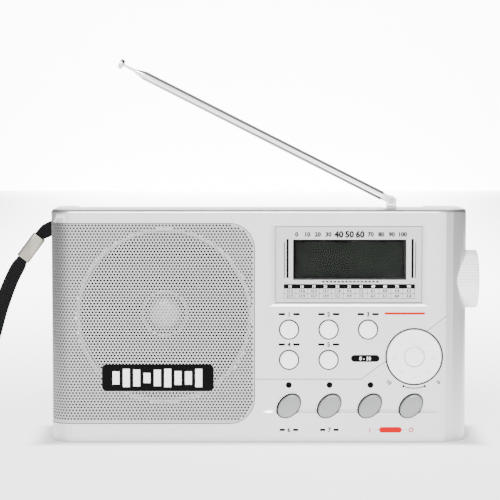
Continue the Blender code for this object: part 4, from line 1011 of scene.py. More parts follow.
@dataclass
class Display:
    """The printed panel, the window with a flat black border, and the module behind it."""

    columns: int = 11
    head: tuple[str, ...] = ("13", "16", "19", "21", "25", "31", "41", "49", "60", "75", "90")
    upper: tuple[str, ...] = ("21.5", "17.6", "15.3", "13.7", "11.8", "9.6", "7.2", "6.1", "4.9",
                              "3.9", "3.3")
    lower: tuple[str, ...] = ("21.9", "17.9", "15.7", "13.9", "12.1", "9.9", "7.5", "6.3", "5.1",
                              "4.0", "3.4")

    def segments(self, x: float, z: float, wide: float, tall: float, face: float) -> list:
        """The seven bars of a digit, each a box a hair proud of the glass.

        Args:
            x: The digit's left.
            z: Its bottom.
            wide: Its width.
            tall: Its height.
            face: The glass's Y.

        Returns:
            The lowest and highest corner of each bar.
        """
        t, g = wide * 0.16, wide * 0.05
        spans = [(x + t, x + wide - t, z, z + t), (x + t, x + wide - t, z + tall - t, z + tall),
                 (x + t, x + wide - t, z + tall / 2 - t / 2, z + tall / 2 + t / 2)]
        for left in (x, x + wide - t):
            spans += [(left, left + t, z + t + g, z + tall / 2 - g),
                      (left, left + t, z + tall / 2 + g, z + tall - t - g)]
        return [([a, face - 0.03 * MM, c], [b, face + 0.02 * MM, d]) for a, b, c, d in spans]

    def table(self, face: float) -> None:
        """The ruled table under the window: shortwave metre bands over their limits in MHz.

        Args:
            face: The panel's Y.
        """
        left, right = 12.2 * MM, 76.6 * MM
        top, head, mid, low = 78.4 * MM, 76.2 * MM, 73.8 * MM, 71.3 * MM
        wide = (right - left) / self.columns
        places = [left + wide * (k + 0.5) for k in range(self.columns)]
        line = 0.09 * MM
        spans = [(left, right, head, top)]
        spans += [(left, right, z - line, z + line) for z in (mid, low)]
        spans += [(left + wide * k - line, left + wide * k + line, low, top)
                  for k in range(self.columns + 1)]
        bars("table_rules", spans, BLACK_INK, face)
        small = 1.3 * MM
        print_marks("table_head_numbers", [Mark(t, x, (head + top) / 2, small)
                                           for t, x in zip(self.head, places)], WHITE_INK, face - 0.04 * MM)
        print_marks("table_numbers",
                    [Mark(t, x, (head + mid) / 2, small) for t, x in zip(self.upper, places)]
                    + [Mark(t, x, (mid + low) / 2, small) for t, x in zip(self.lower, places)],
                    BLACK_INK, face)

    def build(self) -> None:
        """Dress the panel, print on it, paint the shade of the gap round its edge, mask the module's edge and
        lay out its digits.
        """
        refined("display_panel", PANEL_WHITE, bevel=0.12 * MM)
        refined("display_window", WINDOW, bevel=0.15 * MM)
        refined("lcd_module", LCD_GLASS, bevel=0.1 * MM)
        face = box_of("display_panel")[0][1]
        w0, w1 = box_of("display_window")
        low, high = w0[2], w1[2]
        frame_wide = 0.55 * MM
        outer = [w0[0] - GAP - frame_wide, w1[0] + GAP + frame_wide,
                 low - GAP - frame_wide, high + GAP + frame_wide]
        inner = [w0[0] - GAP, w1[0] + GAP, low - GAP, high + GAP]
        bars("window_border", [(outer[0], outer[1], inner[3], outer[3]),
                               (outer[0], outer[1], outer[2], inner[2]),
                               (outer[0], inner[0], inner[2], inner[3]),
                               (inner[1], outer[1], inner[2], inner[3])], BLACK_INK, face)
        z0 = low
        bars("side_bars", [(12.2 * MM, 12.6 * MM, z0, high - 0.3 * MM),
                           (13.4 * MM, 14.5 * MM, z0, high + 1.2 * MM),
                           (74.9 * MM, 76.0 * MM, z0, high + 1.2 * MM),
                           (76.8 * MM, 77.2 * MM, z0, high - 0.3 * MM)], BLACK_INK, face)
        scale = [str(k * 10) for k in range(11)]
        print_marks("scale_numbers", [Mark(t, (18.4 + 5.2 * k) * MM, 103.0 * MM,
                                           (3.0 if 4 <= k <= 6 else 2.1) * MM, bold=0.06)
                                      for k, t in enumerate(scale)], BLACK_INK, face)
        # Painted shade: a black band just inside the panel's edge, for the shadow in the gap round the panel.
        p0, p1 = box_of("display_panel")
        rim, line = 0.05 * MM, 0.4 * MM
        bars("panel_gap_painted_shadow", [(p0[0] + rim, p1[0] - rim, p1[2] - rim - line, p1[2] - rim),
                           (p0[0] + rim, p1[0] - rim, p0[2] + rim, p0[2] + rim + line),
                           (p0[0] + rim, p0[0] + rim + line, p0[2] + rim + line, p1[2] - rim - line),
                           (p1[0] - rim - line, p1[0] - rim, p0[2] + rim + line, p1[2] - rim - line)],
             BLACK_INK, face)
        bars("small_dashes", [((31.0 + 1.9 * k) * MM, (32.2 + 1.9 * k) * MM, 79.2 * MM, 80.0 * MM)
                              for k in range(15)], BLACK_INK, face)
        self.table(face)
        glass = box_of("lcd_module")[0][1]
        x0, x1, z0, z1 = w0[0] - GAP, w1[0] + GAP, w0[2] - GAP, w1[2] + GAP
        band, tall = 2.0 * MM, 1.6 * MM
        bars("module_mask", [(x0, x0 + band, z0, z1), (x1 - band, x1, z0, z1),
                             (x0 + band, x1 - band, z0, z0 + tall),
                             (x0 + band, x1 - band, z1 - tall, z1)], BLACK_INK, glass)
        blocks = []
        for k in range(4):
            blocks += self.segments((24.0 + 6.6 * k + (2.0 if k > 1 else 0)) * MM, 85.0 * MM,
                                    4.8 * MM, 9.6 * MM, glass)
        for k in range(3):
            blocks += self.segments((56.5 + 3.6 * k) * MM, 85.0 * MM, 2.6 * MM, 5.2 * MM, glass)
        blocks.append(([36.9 * MM, glass - 0.03 * MM, 87.4 * MM], [37.7 * MM, glass + 0.02 * MM, 88.2 * MM]))
        blocks.append(([36.9 * MM, glass - 0.03 * MM, 91.4 * MM], [37.7 * MM, glass + 0.02 * MM, 92.2 * MM]))
        put("resting_segments", *boxes(blocks), LCD_SEGMENT)


def refined(node: str, finish: Finish, crease: float = 32.0, bevel: float = 0.0) -> bpy.types.Object:
    """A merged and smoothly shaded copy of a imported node, its sharp edges broken.

    Args:
        node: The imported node.
        finish: Its finish.
        crease: The angle in degrees above which an edge stays sharp.
        bevel: The width of the broken edge.

    Returns:
        The copy, which stands for the node and rides on its body.
    """
    mesh = frame["nodes"][node].data.copy()
    bm = bmesh.new()
    bm.from_mesh(mesh)
    bmesh.ops.remove_doubles(bm, verts=bm.verts, dist=2e-6)
    bmesh.ops.dissolve_limit(bm, angle_limit=radians(0.5), verts=bm.verts, edges=bm.edges)
    bm.to_mesh(mesh)
    bm.free()
    mesh.shade_smooth()
    mesh.set_sharp_from_angle(angle=radians(crease))
    mesh.materials.clear()
    mesh.materials.append(finish.material())
    piece = bpy.data.objects.new(node + "_finished", mesh)
    bpy.context.scene.collection.objects.link(piece)
    if bevel:
        broken = piece.modifiers.new("broken_edges", "BEVEL")
        broken.width = bevel
        broken.segments = 2
        broken.limit_method = "ANGLE"
        broken.angle_limit = radians(40)
        broken.harden_normals = False
    weighted = piece.modifiers.new("even_shading", "WEIGHTED_NORMAL")
    weighted.keep_sharp = True
    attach(piece, frame["nodes"][node]["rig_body"])
    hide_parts(node)
    LOG.info("%s: refined as %s", node, finish.name)
    return piece


@dataclass
class Fascia:
    """The print on the front: numerals by the keys, the pill and the dial's arrows, with painted shade round
    the holes and in the step line's groove.
    """

    label: float = 2.2 * MM

    def pill(self, name: str, x0: float, x1: float, z0: float, z1: float, ink: Finish, face: float) -> None:
        """A filled capsule: two half circles joined by straight lines, a hair thick.

        Args:
            name: The piece's name.
            x0: Its left.
            x1: Its right.
            z0: Its bottom.
            z1: Its top.
            ink: Its finish.
            face: The fascia's Y.
        """
        radius = (z1 - z0) / 2
        a = np.linspace(-pi / 2, pi / 2, 13)
        right = np.stack([x1 - radius + radius * np.cos(a), (z0 + z1) / 2 + radius * np.sin(a)], axis=1)
        left = np.stack([x0 + radius - radius * np.cos(a), (z0 + z1) / 2 - radius * np.sin(a)], axis=1)
        flat = np.vstack([right, left])
        rows = [np.column_stack([flat[:, 0], np.full(len(flat), y), flat[:, 1]])
                for y in (face - 0.03 * MM, face + 0.03 * MM)]
        put(name, *stacked(np.array(rows)), ink)

    def hole_edges(self, face: float) -> None:
        """Painted shade: a dark hair line round each key's and the dial's hole, a flat ring, turned.

        Args:
            face: The fascia's Y.
        """
        keys = Keys()
        for node, lip in [(f"round_key_{n}", keys.lip) for n in range(1, 6)] + [("volume_dial", 0.0)]:
            low, high = box_of(node)
            x, _, z = middle_of(node)
            hole = (high[0] - low[0]) / 2 - lip + (GAP if lip else 2 * GAP)
            near, far = face - 0.03 * MM, face + 0.25 * MM
            outer = hole + (0.3 if lip else 0.12) * MM
            ring = [[hole - 0.24 * MM, near], [outer, near], [outer, far], [hole - 0.24 * MM, far]]
            put(f"hole_edge_{node}", *turned(ring, (x, 0, z), (0, 1, 0), 72, True), BLACK_INK,
                slot=Slot.BLACK_PLASTIC)
        for n in range(1, 5):
            low, high = box_of(f"oval_key_{n}")
            x, _, z = middle_of(f"oval_key_{n}")
            # The oval rings' outer edge is shifted to the upper left, so the painted shadow is widest there.
            rows = [keys.oval_ring(x - aside, z + aside, y, inset) for inset, y, aside in (
                (-GAP + 0.25 * MM, face - 0.53 * MM, 0.0), (-GAP - 0.2 * MM, face - 0.53 * MM, 0.14 * MM),
                (-GAP - 0.2 * MM, face - 0.3 * MM, 0.14 * MM), (-GAP + 0.25 * MM, face - 0.3 * MM, 0.0))]
            points = np.array(rows + rows[:1]).reshape(-1, 3)
            put(f"hole_edge_oval_{n}", points, grid_faces(5, 64), BLACK_INK, slot=Slot.BLACK_PLASTIC)

    def step_shadow(self, face: float) -> None:
        """Painted shade: a grey hair line in the step line's groove, drawn along the same three points.

        Args:
            face: The fascia's Y.
        """
        case = Case()
        grille_edge = box_of("speaker_grille")[1][0] + 2 * GAP
        dial, radius = middle_of("volume_dial"), 14.4 * MM
        top = case.step_height + (case.step_end - case.step_turn) * case.step_slope
        line = np.array([[grille_edge, case.step_height], [case.step_turn, case.step_height],
                         [case.step_end, top]])
        way = (line[2] - line[1]) / np.linalg.norm(line[2] - line[1])
        along = (dial[[0, 2]] - line[1]) @ way
        off = np.linalg.norm(dial[[0, 2]] - line[1] - along * way)
        reach = (radius ** 2 - off ** 2) ** 0.5
        before, after = line[1] + way * (along - reach), line[1] + way * (along + reach)
        half, lean = 0.2 * MM, np.arctan(case.step_slope)
        up = np.array([-sin(lean), cos(lean)])
        bend = np.array([-sin(lean / 2), cos(lean / 2)])
        y0, y1 = face + case.groove_depth - 0.06 * MM, face + case.groove_depth + 0.05 * MM
        for name, knots, away in (
                ("step_shadow_low", [line[0], line[1], before], [np.array([0, 1.0]), bend, up]),
                ("step_shadow_high", [after, line[2]], [up, up])):
            knots, away = np.array(knots), np.array(away)
            outline = np.vstack([knots + away * half, (knots - away * half)[::-1]])
            rows = [np.column_stack([outline[:, 0], np.full(len(outline), y), outline[:, 1]])
                    for y in (y0, y1)]
            put(name, *stacked(np.array(rows)), KEY_GREY, slot=Slot.KEY_GREY)

    def arrows(self, face: float) -> None:
        """A thin arc under the dial with an arrow head at each end.

        Args:
            face: The fascia's Y.
        """
        low, high = box_of("volume_dial")
        x, z = (low[0] + high[0]) / 2, (low[2] + high[2]) / 2
        radius = (high[0] - low[0]) / 2 + 2.1 * MM
        a = np.linspace(radians(-112), radians(-68), 25)
        half = 0.22 * MM
        spread = np.concatenate([[0.0, 1.0], np.ones(21), [1.0, 0.0]])
        wide = np.full(25, half)
        wide[1], wide[-2] = 0.85 * MM, 0.85 * MM
        wide = wide * spread
        outer, inner = (np.stack([x + r * np.cos(a), z + r * np.sin(a)], axis=1)
                        for r in (radius + wide, radius - wide))
        ring = np.vstack([outer, inner[-2:0:-1]])
        rows = [np.column_stack([ring[:, 0], np.full(len(ring), y), ring[:, 1]])
                for y in (face - 0.03 * MM, face + 0.03 * MM)]
        put("dial_arrows", *stacked(np.array(rows)), BLACK_INK)

    def build(self) -> None:
        """Print the marks on the fascia and paint the shade round the holes and in the step line's groove."""
        face = CASE_FRONT
        marks, spans = [], []
        for n in range(1, 6):
            x, _, z = middle_of(f"round_key_{n}")
            z += 7.6 * MM
            marks.append(Mark(str(n), x, z, self.label))
            for side in (-1, 1):
                a, b = sorted((x + side * 2.0 * MM, x + side * 5.2 * MM))
                spans.append((a, b, z - 0.55 * MM, z + 0.55 * MM))
        for n in (1, 2):
            x, _, z = middle_of(f"oval_key_{n}")
            marks.append(Mark(str(n + 5), x, 6.3 * MM, self.label))
            spans += [(x - 4.6 * MM, x - 2.0 * MM, 5.75 * MM, 6.85 * MM),
                      (x + 2.0 * MM, x + 4.6 * MM, 5.75 * MM, 6.85 * MM)]
        dial = middle_of("volume_dial")
        marks.append(Mark("10", dial[0] - 12.4 * MM, dial[2] - 12.6 * MM, 1.9 * MM, radians(-42)))
        marks.append(Mark("0", dial[0] + 12.0 * MM, dial[2] - 12.6 * MM, 1.9 * MM, radians(42)))
        print_marks("key_numerals", marks, BLACK_INK, face)
        bars("key_dashes", spans, BLACK_INK, face)
        self.pill("level_pill", 45.2 * MM, 59.3 * MM, 40.1 * MM, 43.5 * MM, BLACK_INK, face)
        print_marks("level_numbers", [Mark("0 - 10", 52.2 * MM, 41.8 * MM, 1.7 * MM)], WHITE_INK,
                    face - 0.04 * MM)
        x3, x4 = middle_of("oval_key_3")[0], middle_of("oval_key_4")[0]
        print_marks("power_signs", [Mark("I", x3, 6.3 * MM, self.label), Mark("O", x4, 6.3 * MM, self.label)],
                    RED_INK, face)
        middle = (x3 + x4) / 2
        self.pill("power_pill", middle - 5.6 * MM, middle + 5.6 * MM, 4.9 * MM, 7.7 * MM, RED_INK, face)
        bars("power_dashes", [(x3 + 2 * MM, middle - 5.6 * MM, 6.2 * MM, 6.4 * MM),
                              (middle + 5.6 * MM, x4 - 2 * MM, 6.2 * MM, 6.4 * MM)], RED_INK, face)
        bars("red_rules", [(61.7 * MM, 81.6 * MM, 63.5 * MM, 64.6 * MM)], RED_INK, face)
        self.arrows(face)
        self.hole_edges(face)
        self.step_shadow(face)
        dress(BLACK_INK, "indicator_1", "indicator_2", "indicator_3")


# ---------------------------------------------------------------- controls

@dataclass
class Keys:
    """The round keys, turned, and the oval keys, whose outline is an ellipse that leans."""

    lip: float = 1.1 * MM
    lip_thick: float = 1.0 * MM
    stem: float = 1.7 * MM
    lip_from_front: float = 2.8 * MM
    oval_long: float = 6.6 * MM
    oval_short: float = 4.65 * MM
    oval_lean: float = radians(47)

    def round_key(self, number: int) -> None:
        """Turn one round key.

        Args:
            number: The key, from 1.
        """
        node = f"round_key_{number}"
        low, high = box_of(node)
        x, _, z = middle_of(node)
        radius = (high[0] - low[0]) / 2 - self.lip
        lip = CASE_FRONT + self.lip_from_front
        face = round_profile(radius, low[1], lip, 0.45 * MM, 0.22 * MM)[:-1]
        back = [[radius + self.lip, lip], [radius + self.lip, lip + self.lip_thick],
                [self.stem, lip + self.lip_thick], [self.stem, high[1]], [0, high[1]]]
        put(f"round_key_cap_{number}", *turned(np.vstack([face, back]), (x, 0, z), (0, 1, 0), 56),
            PEARL_PLASTIC, f"key_{number}", (node,), slot=Slot.WHITE_PLASTIC)

    def oval_ring(self, x: float, z: float, y: float, inset: float) -> Points:
        """An ellipse drawn in by an inset: the half axes times the cosine and the sine of an
        angle, turned by the lean.

        Args:
            x: The X of its middle.
            z: The Z of its middle.
            y: Its Y.
            inset: How far it is drawn in.

        Returns:
            Points by 3.
        """
        a = np.linspace(0, 2 * pi, 64, endpoint=False)
        u, v = (self.oval_long - inset) * np.cos(a), (self.oval_short - inset) * np.sin(a)
        lean = self.oval_lean
        return np.column_stack([x + u * cos(lean) - v * sin(lean), np.full(64, y),
                                z + u * sin(lean) + v * cos(lean)])

    def oval_key(self, number: int) -> None:
        """Build one oval key from rings: a crown, a rounded edge, the lip and the stem.

        Args:
            number: The key, from 1.
        """
        node = f"oval_key_{number}"
        low, high = box_of(node)
        x, _, z = middle_of(node)
        lip = CASE_FRONT + self.lip_from_front
        bevel, crown = 0.9 * MM, 0.35 * MM
        rings = [(low[1] + crown * (k / 8) ** 2, (self.oval_short - bevel) * (1 - k / 8) + bevel)
                 for k in range(9)]
        rings[0] = (low[1], self.oval_short - 0.15 * MM)
        a = np.linspace(0, pi / 2, 6)[1:]
        rings += [(low[1] + crown + bevel * (1 - c), bevel * (1 - s)) for s, c in zip(np.sin(a), np.cos(a))]
        rings += [(lip, 0.0), (lip, -self.lip), (lip + self.lip_thick, -self.lip),
                  (lip + self.lip_thick, self.oval_short - self.stem),
                  (high[1], self.oval_short - self.stem)]
        rows = np.array([self.oval_ring(x, z, y, inset) for y, inset in rings])
        put(f"oval_key_cap_{number}", *stacked(rows), KEY_GREY, f"oval_{number}", (node,), slot=Slot.KEY_GREY)

    def build(self) -> None:
        """Build all nine keys."""
        for number in range(1, 6):
            self.round_key(number)
        for number in range(1, 5):
            self.oval_key(number)


@dataclass
class VolumeDial:
    """The thumb dial: a turned disc whose face sinks into eight round dimples."""

    dimples: int = 8
    dimple_circle: float = 9.5 * MM
    dimple_radius: float = 1.25 * MM
    dimple_depth: float = 0.9 * MM
    steps: int = 192

    def build(self) -> None:
        """Turn the dial, sink the dimples and turn the cap. At distance d from a dimple's
        middle the bowl is as deep as 1 - (d / r) squared of the dimple's depth."""
        low, high = box_of("volume_dial")
        cap_low, cap_high = box_of("volume_cap")
        x, _, z = middle_of("volume_dial")
        radius, cap = (high[0] - low[0]) / 2, (cap_high[0] - cap_low[0]) / 2
        face, seat = low[1], cap_high[1] + GAP
        r = np.linspace(cap + GAP, radius - 0.8 * MM, 44)
        dish = face + 0.25 * MM * np.sin(pi * (r - r[0]) / (r[-1] - r[0])) ** 0.5
        a = np.linspace(0, pi / 2, 7)[1:]
        edge = np.stack([radius - 0.8 * MM + 0.8 * MM * np.sin(a), face + 0.8 * MM * (1 - np.cos(a))], axis=1)
        back = CASE_FRONT + 2.5 * MM
        stem = 3.0 * MM
        profile = np.vstack([[[0, seat], [cap + GAP, seat]], np.stack([r, dish], axis=1), edge,
                             [[radius, back], [stem, back], [stem, high[1]], [0, high[1]]]])
        points, faces = turned(profile, (x, 0, z), (0, 1, 0), self.steps)
        turn = 2 * pi * np.arange(self.dimples) / self.dimples
        wells = np.stack([x + self.dimple_circle * np.sin(turn),
                          z + self.dimple_circle * np.cos(turn)], axis=1)
        away = np.linalg.norm(points[:, None, [0, 2]] - wells[None], axis=2).min(axis=1)
        bowl = np.clip(1 - (away / self.dimple_radius) ** 2, 0, 1)
        on_face = points[:, 1] < face + 0.5 * MM
        points[:, 1] += np.where(on_face, self.dimple_depth * bowl, 0)
        put("dimpled_dial", points, faces, PEARL_PLASTIC, "volume", ("volume_dial",), crease=50,
            slot=Slot.WHITE_PLASTIC)
        put("dial_cap", *turned(round_profile(cap, cap_low[1], cap_high[1], 0.35 * MM, 0.15 * MM),
                                (x, 0, z), (0, 1, 0), 72), PEARL_PLASTIC, "volume", ("volume_cap",),
            slot=Slot.WHITE_PLASTIC)
        dress(STEEL, "volume_potentiometer")


@dataclass
class Tuning:
    """The ribbed knob in the right side and the train behind it."""

    ribs: int = 60
    rib_depth: float = 0.42 * MM
    rows: int = 5
    bore: float = 2.5 * MM

    def build(self) -> None:
        """Turn the knob's profile, and draw its side in between the ribs by the depth times
        half of one plus the cosine of the rib angle, to the power 0.6."""
        low, high = box_of("tuning_knob")
        _, y, z = middle_of("tuning_knob")
        radius, near, far = (high[1] - low[1]) / 2, low[0], high[0]
        bevel = 0.9 * MM
        a = np.linspace(0, pi / 2, 6)
        edge = np.stack([radius - bevel + bevel * np.cos(a), far - bevel + bevel * np.sin(a)], axis=1)
        side = np.stack([np.full(self.rows, radius), np.linspace(near, far - bevel, self.rows)], axis=1)
        ring = radius - 3.2 * MM
        face = [[ring + 0.4 * MM, far], [ring, far - 0.5 * MM], [ring - 4 * MM, far - 0.7 * MM],
                [3.2 * MM, far - 0.7 * MM], [3.0 * MM, far - 0.2 * MM], [0, far - 0.1 * MM]]
        start = [[0, far - 2.5 * MM], [self.bore, far - 2.5 * MM], [self.bore, near]]
        profile = np.vstack([start, side, edge[1:], face])
        points, faces = turned(profile, (0, y, z), (1, 0, 0), self.ribs * 8)
        away = points[:, 1:] - [y, z]
        far_out = np.linalg.norm(away, axis=1)
        angle = np.arctan2(away[:, 1], away[:, 0])
        dip = self.rib_depth * (0.5 + 0.5 * np.cos(self.ribs * angle)) ** 0.6
        grip = np.clip((far_out - (radius - 1.2 * MM)) / (0.6 * MM), 0, 1)
        points[:, 1:] -= away / np.maximum(far_out, 1e-9)[:, None] * (dip * grip)[:, None]
        put("ribbed_knob", points, faces, PEARL_PLASTIC, "tuning", ("tuning_knob",), crease=38,
            slot=Slot.WHITE_PLASTIC)
        refined("tuning_shaft", STEEL)
        refined("tuning_gear", PEARL_PLASTIC)
        dress(STEEL, "tuning_capacitor", "band_switch_body", "battery_contacts_left",
              "battery_contacts_right", "antenna_foot", "strap_pin")
        dress(BOARD, "main_board", "tuner_board")
        dress(FERRITE, "ferrite_rod")
        dress(COPPER, "ferrite_coil")
        self.slider_ridges()

    def slider_ridges(self) -> None:
        """The band switch's actuator, with three ridges across its face."""
        refined("band_switch_slider", BLACK_PLASTIC, bevel=0.15 * MM)
        low, high = box_of("band_switch_slider")
        pitch = (high[2] - low[2]) / 4
        blocks = [([high[0] - 0.1 * MM, low[1] + 0.2 * MM, low[2] + pitch * (k + 0.75)],
                   [high[0] + 0.15 * MM, high[1] - 0.2 * MM, low[2] + pitch * (k + 1.25)]) for k in range(3)]
        put("slider_ridges", *boxes(blocks), BLACK_PLASTIC, "band_slider", slot=Slot.BLACK_PLASTIC)


# ---------------------------------------------------------------- antenna

@dataclass
class Antenna:
    """The telescopic antenna: four bright tubes, the rod with its button, and the turret."""

    lean: float = radians(26.8)
    radii: tuple[float, ...] = (2.3 * MM, 1.9 * MM, 1.5 * MM, 1.1 * MM)
    wall: float = 0.2 * MM
    first: float = 8.2 * MM
    mouth: float = 141.2 * MM
    stagger: float = 1.6 * MM
    rod: tuple[float, float, float] = (0.7 * MM, 14.6 * MM, 152.3 * MM)
    button: tuple[float, float, float] = (2.6 * MM, 152.3 * MM, 154.7 * MM)

    def way(self) -> Points:
        """The antenna's direction at rest.

        Returns:
            A unit vector.
        """
        return np.array([-cos(self.lean), 0, sin(self.lean)])

    def tube(self, number: int) -> None:
        """Turn one tube as a closed ring: its outside, a lip rolled in at the mouth, and
        its bore.

        Args:
            number: The tube, from 0 for the outermost.
        """
        r = self.radii[number]
        start, end = self.first + self.stagger * number, self.mouth + self.stagger * number
        roll, bore = 0.35 * MM, r - self.wall
        a = np.linspace(0, pi / 2, 5)
        lip = np.stack([r - self.wall + self.wall * np.cos(a), end - roll + roll * np.sin(a)], axis=1)
        neck = ((0, 0), (0.05 * MM, 0.3 * MM), (0.05 * MM, 0.7 * MM), (0, 1 * MM))
        outside = np.array([[r, start]] + [[r - k, end - 6 * MM + d] for k, d in neck])
        profile = np.vstack([[[bore, start]], outside, lip, [[bore, end - roll]]])
        points, faces = turned(profile, middle_of("antenna_pin"), self.way(), 48, True)
        put(f"bright_tube_{number + 1}", points, faces, CHROME, f"mast_{number + 1}",
            (f"antenna_tube_{number + 1}",), crease=50, slot=Slot.CHROME)

    def build(self) -> None:
        """Refine the outermost tube, turn the others, the rod and the button, and dress the
        turret and its pin."""
        refined("antenna_tube_1", CHROME, crease=28)
        for number in range(1, len(self.radii)):
            self.tube(number)
        radius, start, end = self.rod
        put("bright_rod", *turned([[0, start], [radius, start], [radius, end], [0, end]],
                                  middle_of("antenna_pin"), self.way(), 32), CHROME, "mast_rod",
            ("antenna_rod",), slot=Slot.CHROME)
        radius, start, end = self.button
        profile = [[0, start], [radius - 0.9 * MM, start], [radius - 0.5 * MM, start + 0.25 * MM],
                   [radius - 0.12 * MM, start + 0.6 * MM], [radius, start + 1.0 * MM],
                   [radius, end - 0.55 * MM], [radius - 0.15 * MM, end - 0.2 * MM],
                   [radius - 0.5 * MM, end - 0.05 * MM], [radius - 1.1 * MM, end], [0, end]]
        put("bright_button", *turned(profile, middle_of("antenna_pin"), self.way(), 56), CHROME, "mast_rod",
            ("antenna_tip",), slot=Slot.CHROME)
        refined("antenna_turret", CHROME, bevel=0.12 * MM)
        refined("antenna_pin", STEEL, bevel=0.1 * MM)


# ---------------------------------------------------------------- strap

@dataclass
class Strap:
    """The carrying strap: a woven tape folded over the pin, held by a bright crimp, that
    hangs down the left side as a loop."""

    route: tuple[tuple[float, float], ...] = (
        (5.2, 106.4), (1.4, 105.6), (-2.4, 104.1), (-5.5, 102.3), (-8.2, 99.9), (-12.3, 94.4),
        (-16.7, 88.5), (-22.2, 78.6), (-27.5, 65.0), (-31.4, 52.0), (-35.0, 38.5), (-38.0, 25.0),
        (-40.2, 13.5), (-41.9, 4.8))
    per_span: int = 8
    crimp_knot: int = 5
    width: float = 7.0 * MM
    thick: float = 1.2 * MM
    pinched: float = 5.4 * MM
    open: float = 6.5 * MM
    crimp_length: float = 14.0 * MM
    crimp_wall: float = 0.4 * MM
    pin_radius: float = 1.2 * MM

    def line(self) -> tuple[Points, Points, Points]:
        """A Catmull-Rom curve through the route: between b and c, with neighbours a and d,
        half of 2b + (c - a)t + (2a - 5b + 4c - d)t squared + (3b - a - 3c + d)t cubed.

        Returns:
            Its points, unit directions and the lengths travelled.
        """
        k = np.array([[CASE_LEFT + x * MM, middle_of("strap_pin")[1], z * MM] for x, z in self.route])
        k = np.vstack([2 * k[0] - k[1], k, 2 * k[-1] - k[-2]])
        t = (np.arange(self.per_span) / self.per_span)[None, :, None]
        a, b, c, d = (k[i:len(k) - 3 + i][:, None] for i in range(4))
        p = 0.5 * (2 * b + (c - a) * t + (2 * a - 5 * b + 4 * c - d) * t ** 2
                   + (3 * b - a - 3 * c + d) * t ** 3)
        p = np.vstack([p.reshape(-1, 3), k[-2]])
        ways = np.gradient(p, axis=0)
        ways /= np.linalg.norm(ways, axis=1)[:, None]
        far = np.concatenate([[0], np.cumsum(np.linalg.norm(np.diff(p, axis=0), axis=1))])
        return p, ways, far

    @staticmethod
    def ease(value: Points) -> Points:
        """A smooth step from 0 to 1: 3v squared minus 2v cubed, v kept within 0 and 1.

        Args:
            value: The values v.

        Returns:
            The steps.
        """
        v = np.clip(value, 0, 1)
        return v * v * (3 - 2 * v)

    def stations(self) -> tuple[Points, Points, Points, Points]:
        """Walk the tape: from the crimp's front layer up to the pin, half way round it, down
        the back layer, round the loop's end and up to the crimp again.

        Returns:
            The places, the outward directions, the run's directions and the widths.
        """
        p, ways, far = self.line()
        knot = self.crimp_knot * self.per_span
        middle, half = far[knot], self.crimp_length / 2
        near, at_pin = self.thick / 2 + GAP / 2, self.pin_radius + GAP + self.thick / 2
        before = near + (at_pin - near) * self.ease((middle - half - far) / (9 * MM))
        after = near + (self.open - near) * self.ease((far - middle - half) / (60 * MM))
        spread = np.where(far < middle, before, after)
        wide = self.pinched + (self.width - self.pinched) * self.ease(
            (np.abs(far - middle) - half) / (5 * MM))
        side = np.array([0.0, 1.0, 0.0])

        def run(index: Points, sign: float) -> tuple[Points, ...]:
            """One straight layer of the tape.

            Args:
                index: The points of the line that it follows.
                sign: The side of the line that it lies on.

            Returns:
                Places, outward directions, run directions and widths.
            """
            return (p[index] + sign * spread[index, None] * side, np.tile(sign * side, (len(index), 1)),
                    ways[index], wide[index])

        def bend(at: int, onward: float, sign: float) -> tuple[Points, ...]:
            """A half turn from one layer to the other.

            Args:
                at: The point of the line that it goes round.
                onward: 1 if it bulges on along the line, -1 if back.
                sign: The side of the line that it starts from.

            Returns:
                Places, outward directions, run directions and widths.
            """
            a = (pi * np.arange(1, 16) / 16)[:, None]
            out = sign * side * np.cos(a) + ways[at] * onward * np.sin(a)
            return (p[at] + out * spread[at], out, np.tile(ways[at], (15, 1)), np.full(15, wide[at]))

        last = len(p) - 1 - 2 * self.per_span // 4
        legs = [run(np.arange(knot, -1, -1), -1.0), bend(0, -1.0, -1.0), run(np.arange(0, last + 1), 1.0),
                bend(last, 1.0, 1.0), run(np.arange(last, knot, -1), -1.0)]
        return tuple(np.concatenate([leg[i] for leg in legs]) for i in range(4))

    def build(self) -> None:
        place, out, way, wide = self.stations()
        across = np.column_stack([way[:, 2], np.zeros(len(way)), -way[:, 0]])
        a = np.linspace(-pi / 2, pi / 2, 7)
        corner = 0.4 * MM
        u = np.concatenate([np.cos(a), -np.cos(a)])
        v = np.concatenate([np.sin(a), -np.sin(a)])
        reach = wide[:, None] / 2 - corner + corner * np.abs(u)[None]
        section = np.repeat([1, -1], len(a))[None] * reach
        points = (place[:, None] + across[:, None] * section[..., None]
                  + out[:, None] * (v * self.thick / 2)[None, :, None])
        piece = put("woven_tape_loop", *stacked(points), TAPE, stands_for=("strap_loop",), crease=60,
                    weld=False, slot=Slot.WEBBING)
        mesh = piece.data
        bm = bmesh.new()
        bm.from_mesh(mesh)
        bmesh.ops.recalc_face_normals(bm, faces=bm.faces)
        bm.to_mesh(mesh)
        bm.free()
        travelled = np.concatenate([[0], np.cumsum(np.linalg.norm(np.diff(place, axis=0), axis=1))])
        index = np.zeros(len(mesh.loops), int)
        mesh.loops.foreach_get("vertex_index", index)
        row, column = np.divmod(index, len(u))
        uv = np.column_stack([section[row, column] / self.width, travelled[row] / self.width])
        mesh.uv_layers.new(name="tape").data.foreach_set("uv", uv.astype(np.float32).ravel())
        crimp = self.crimp()

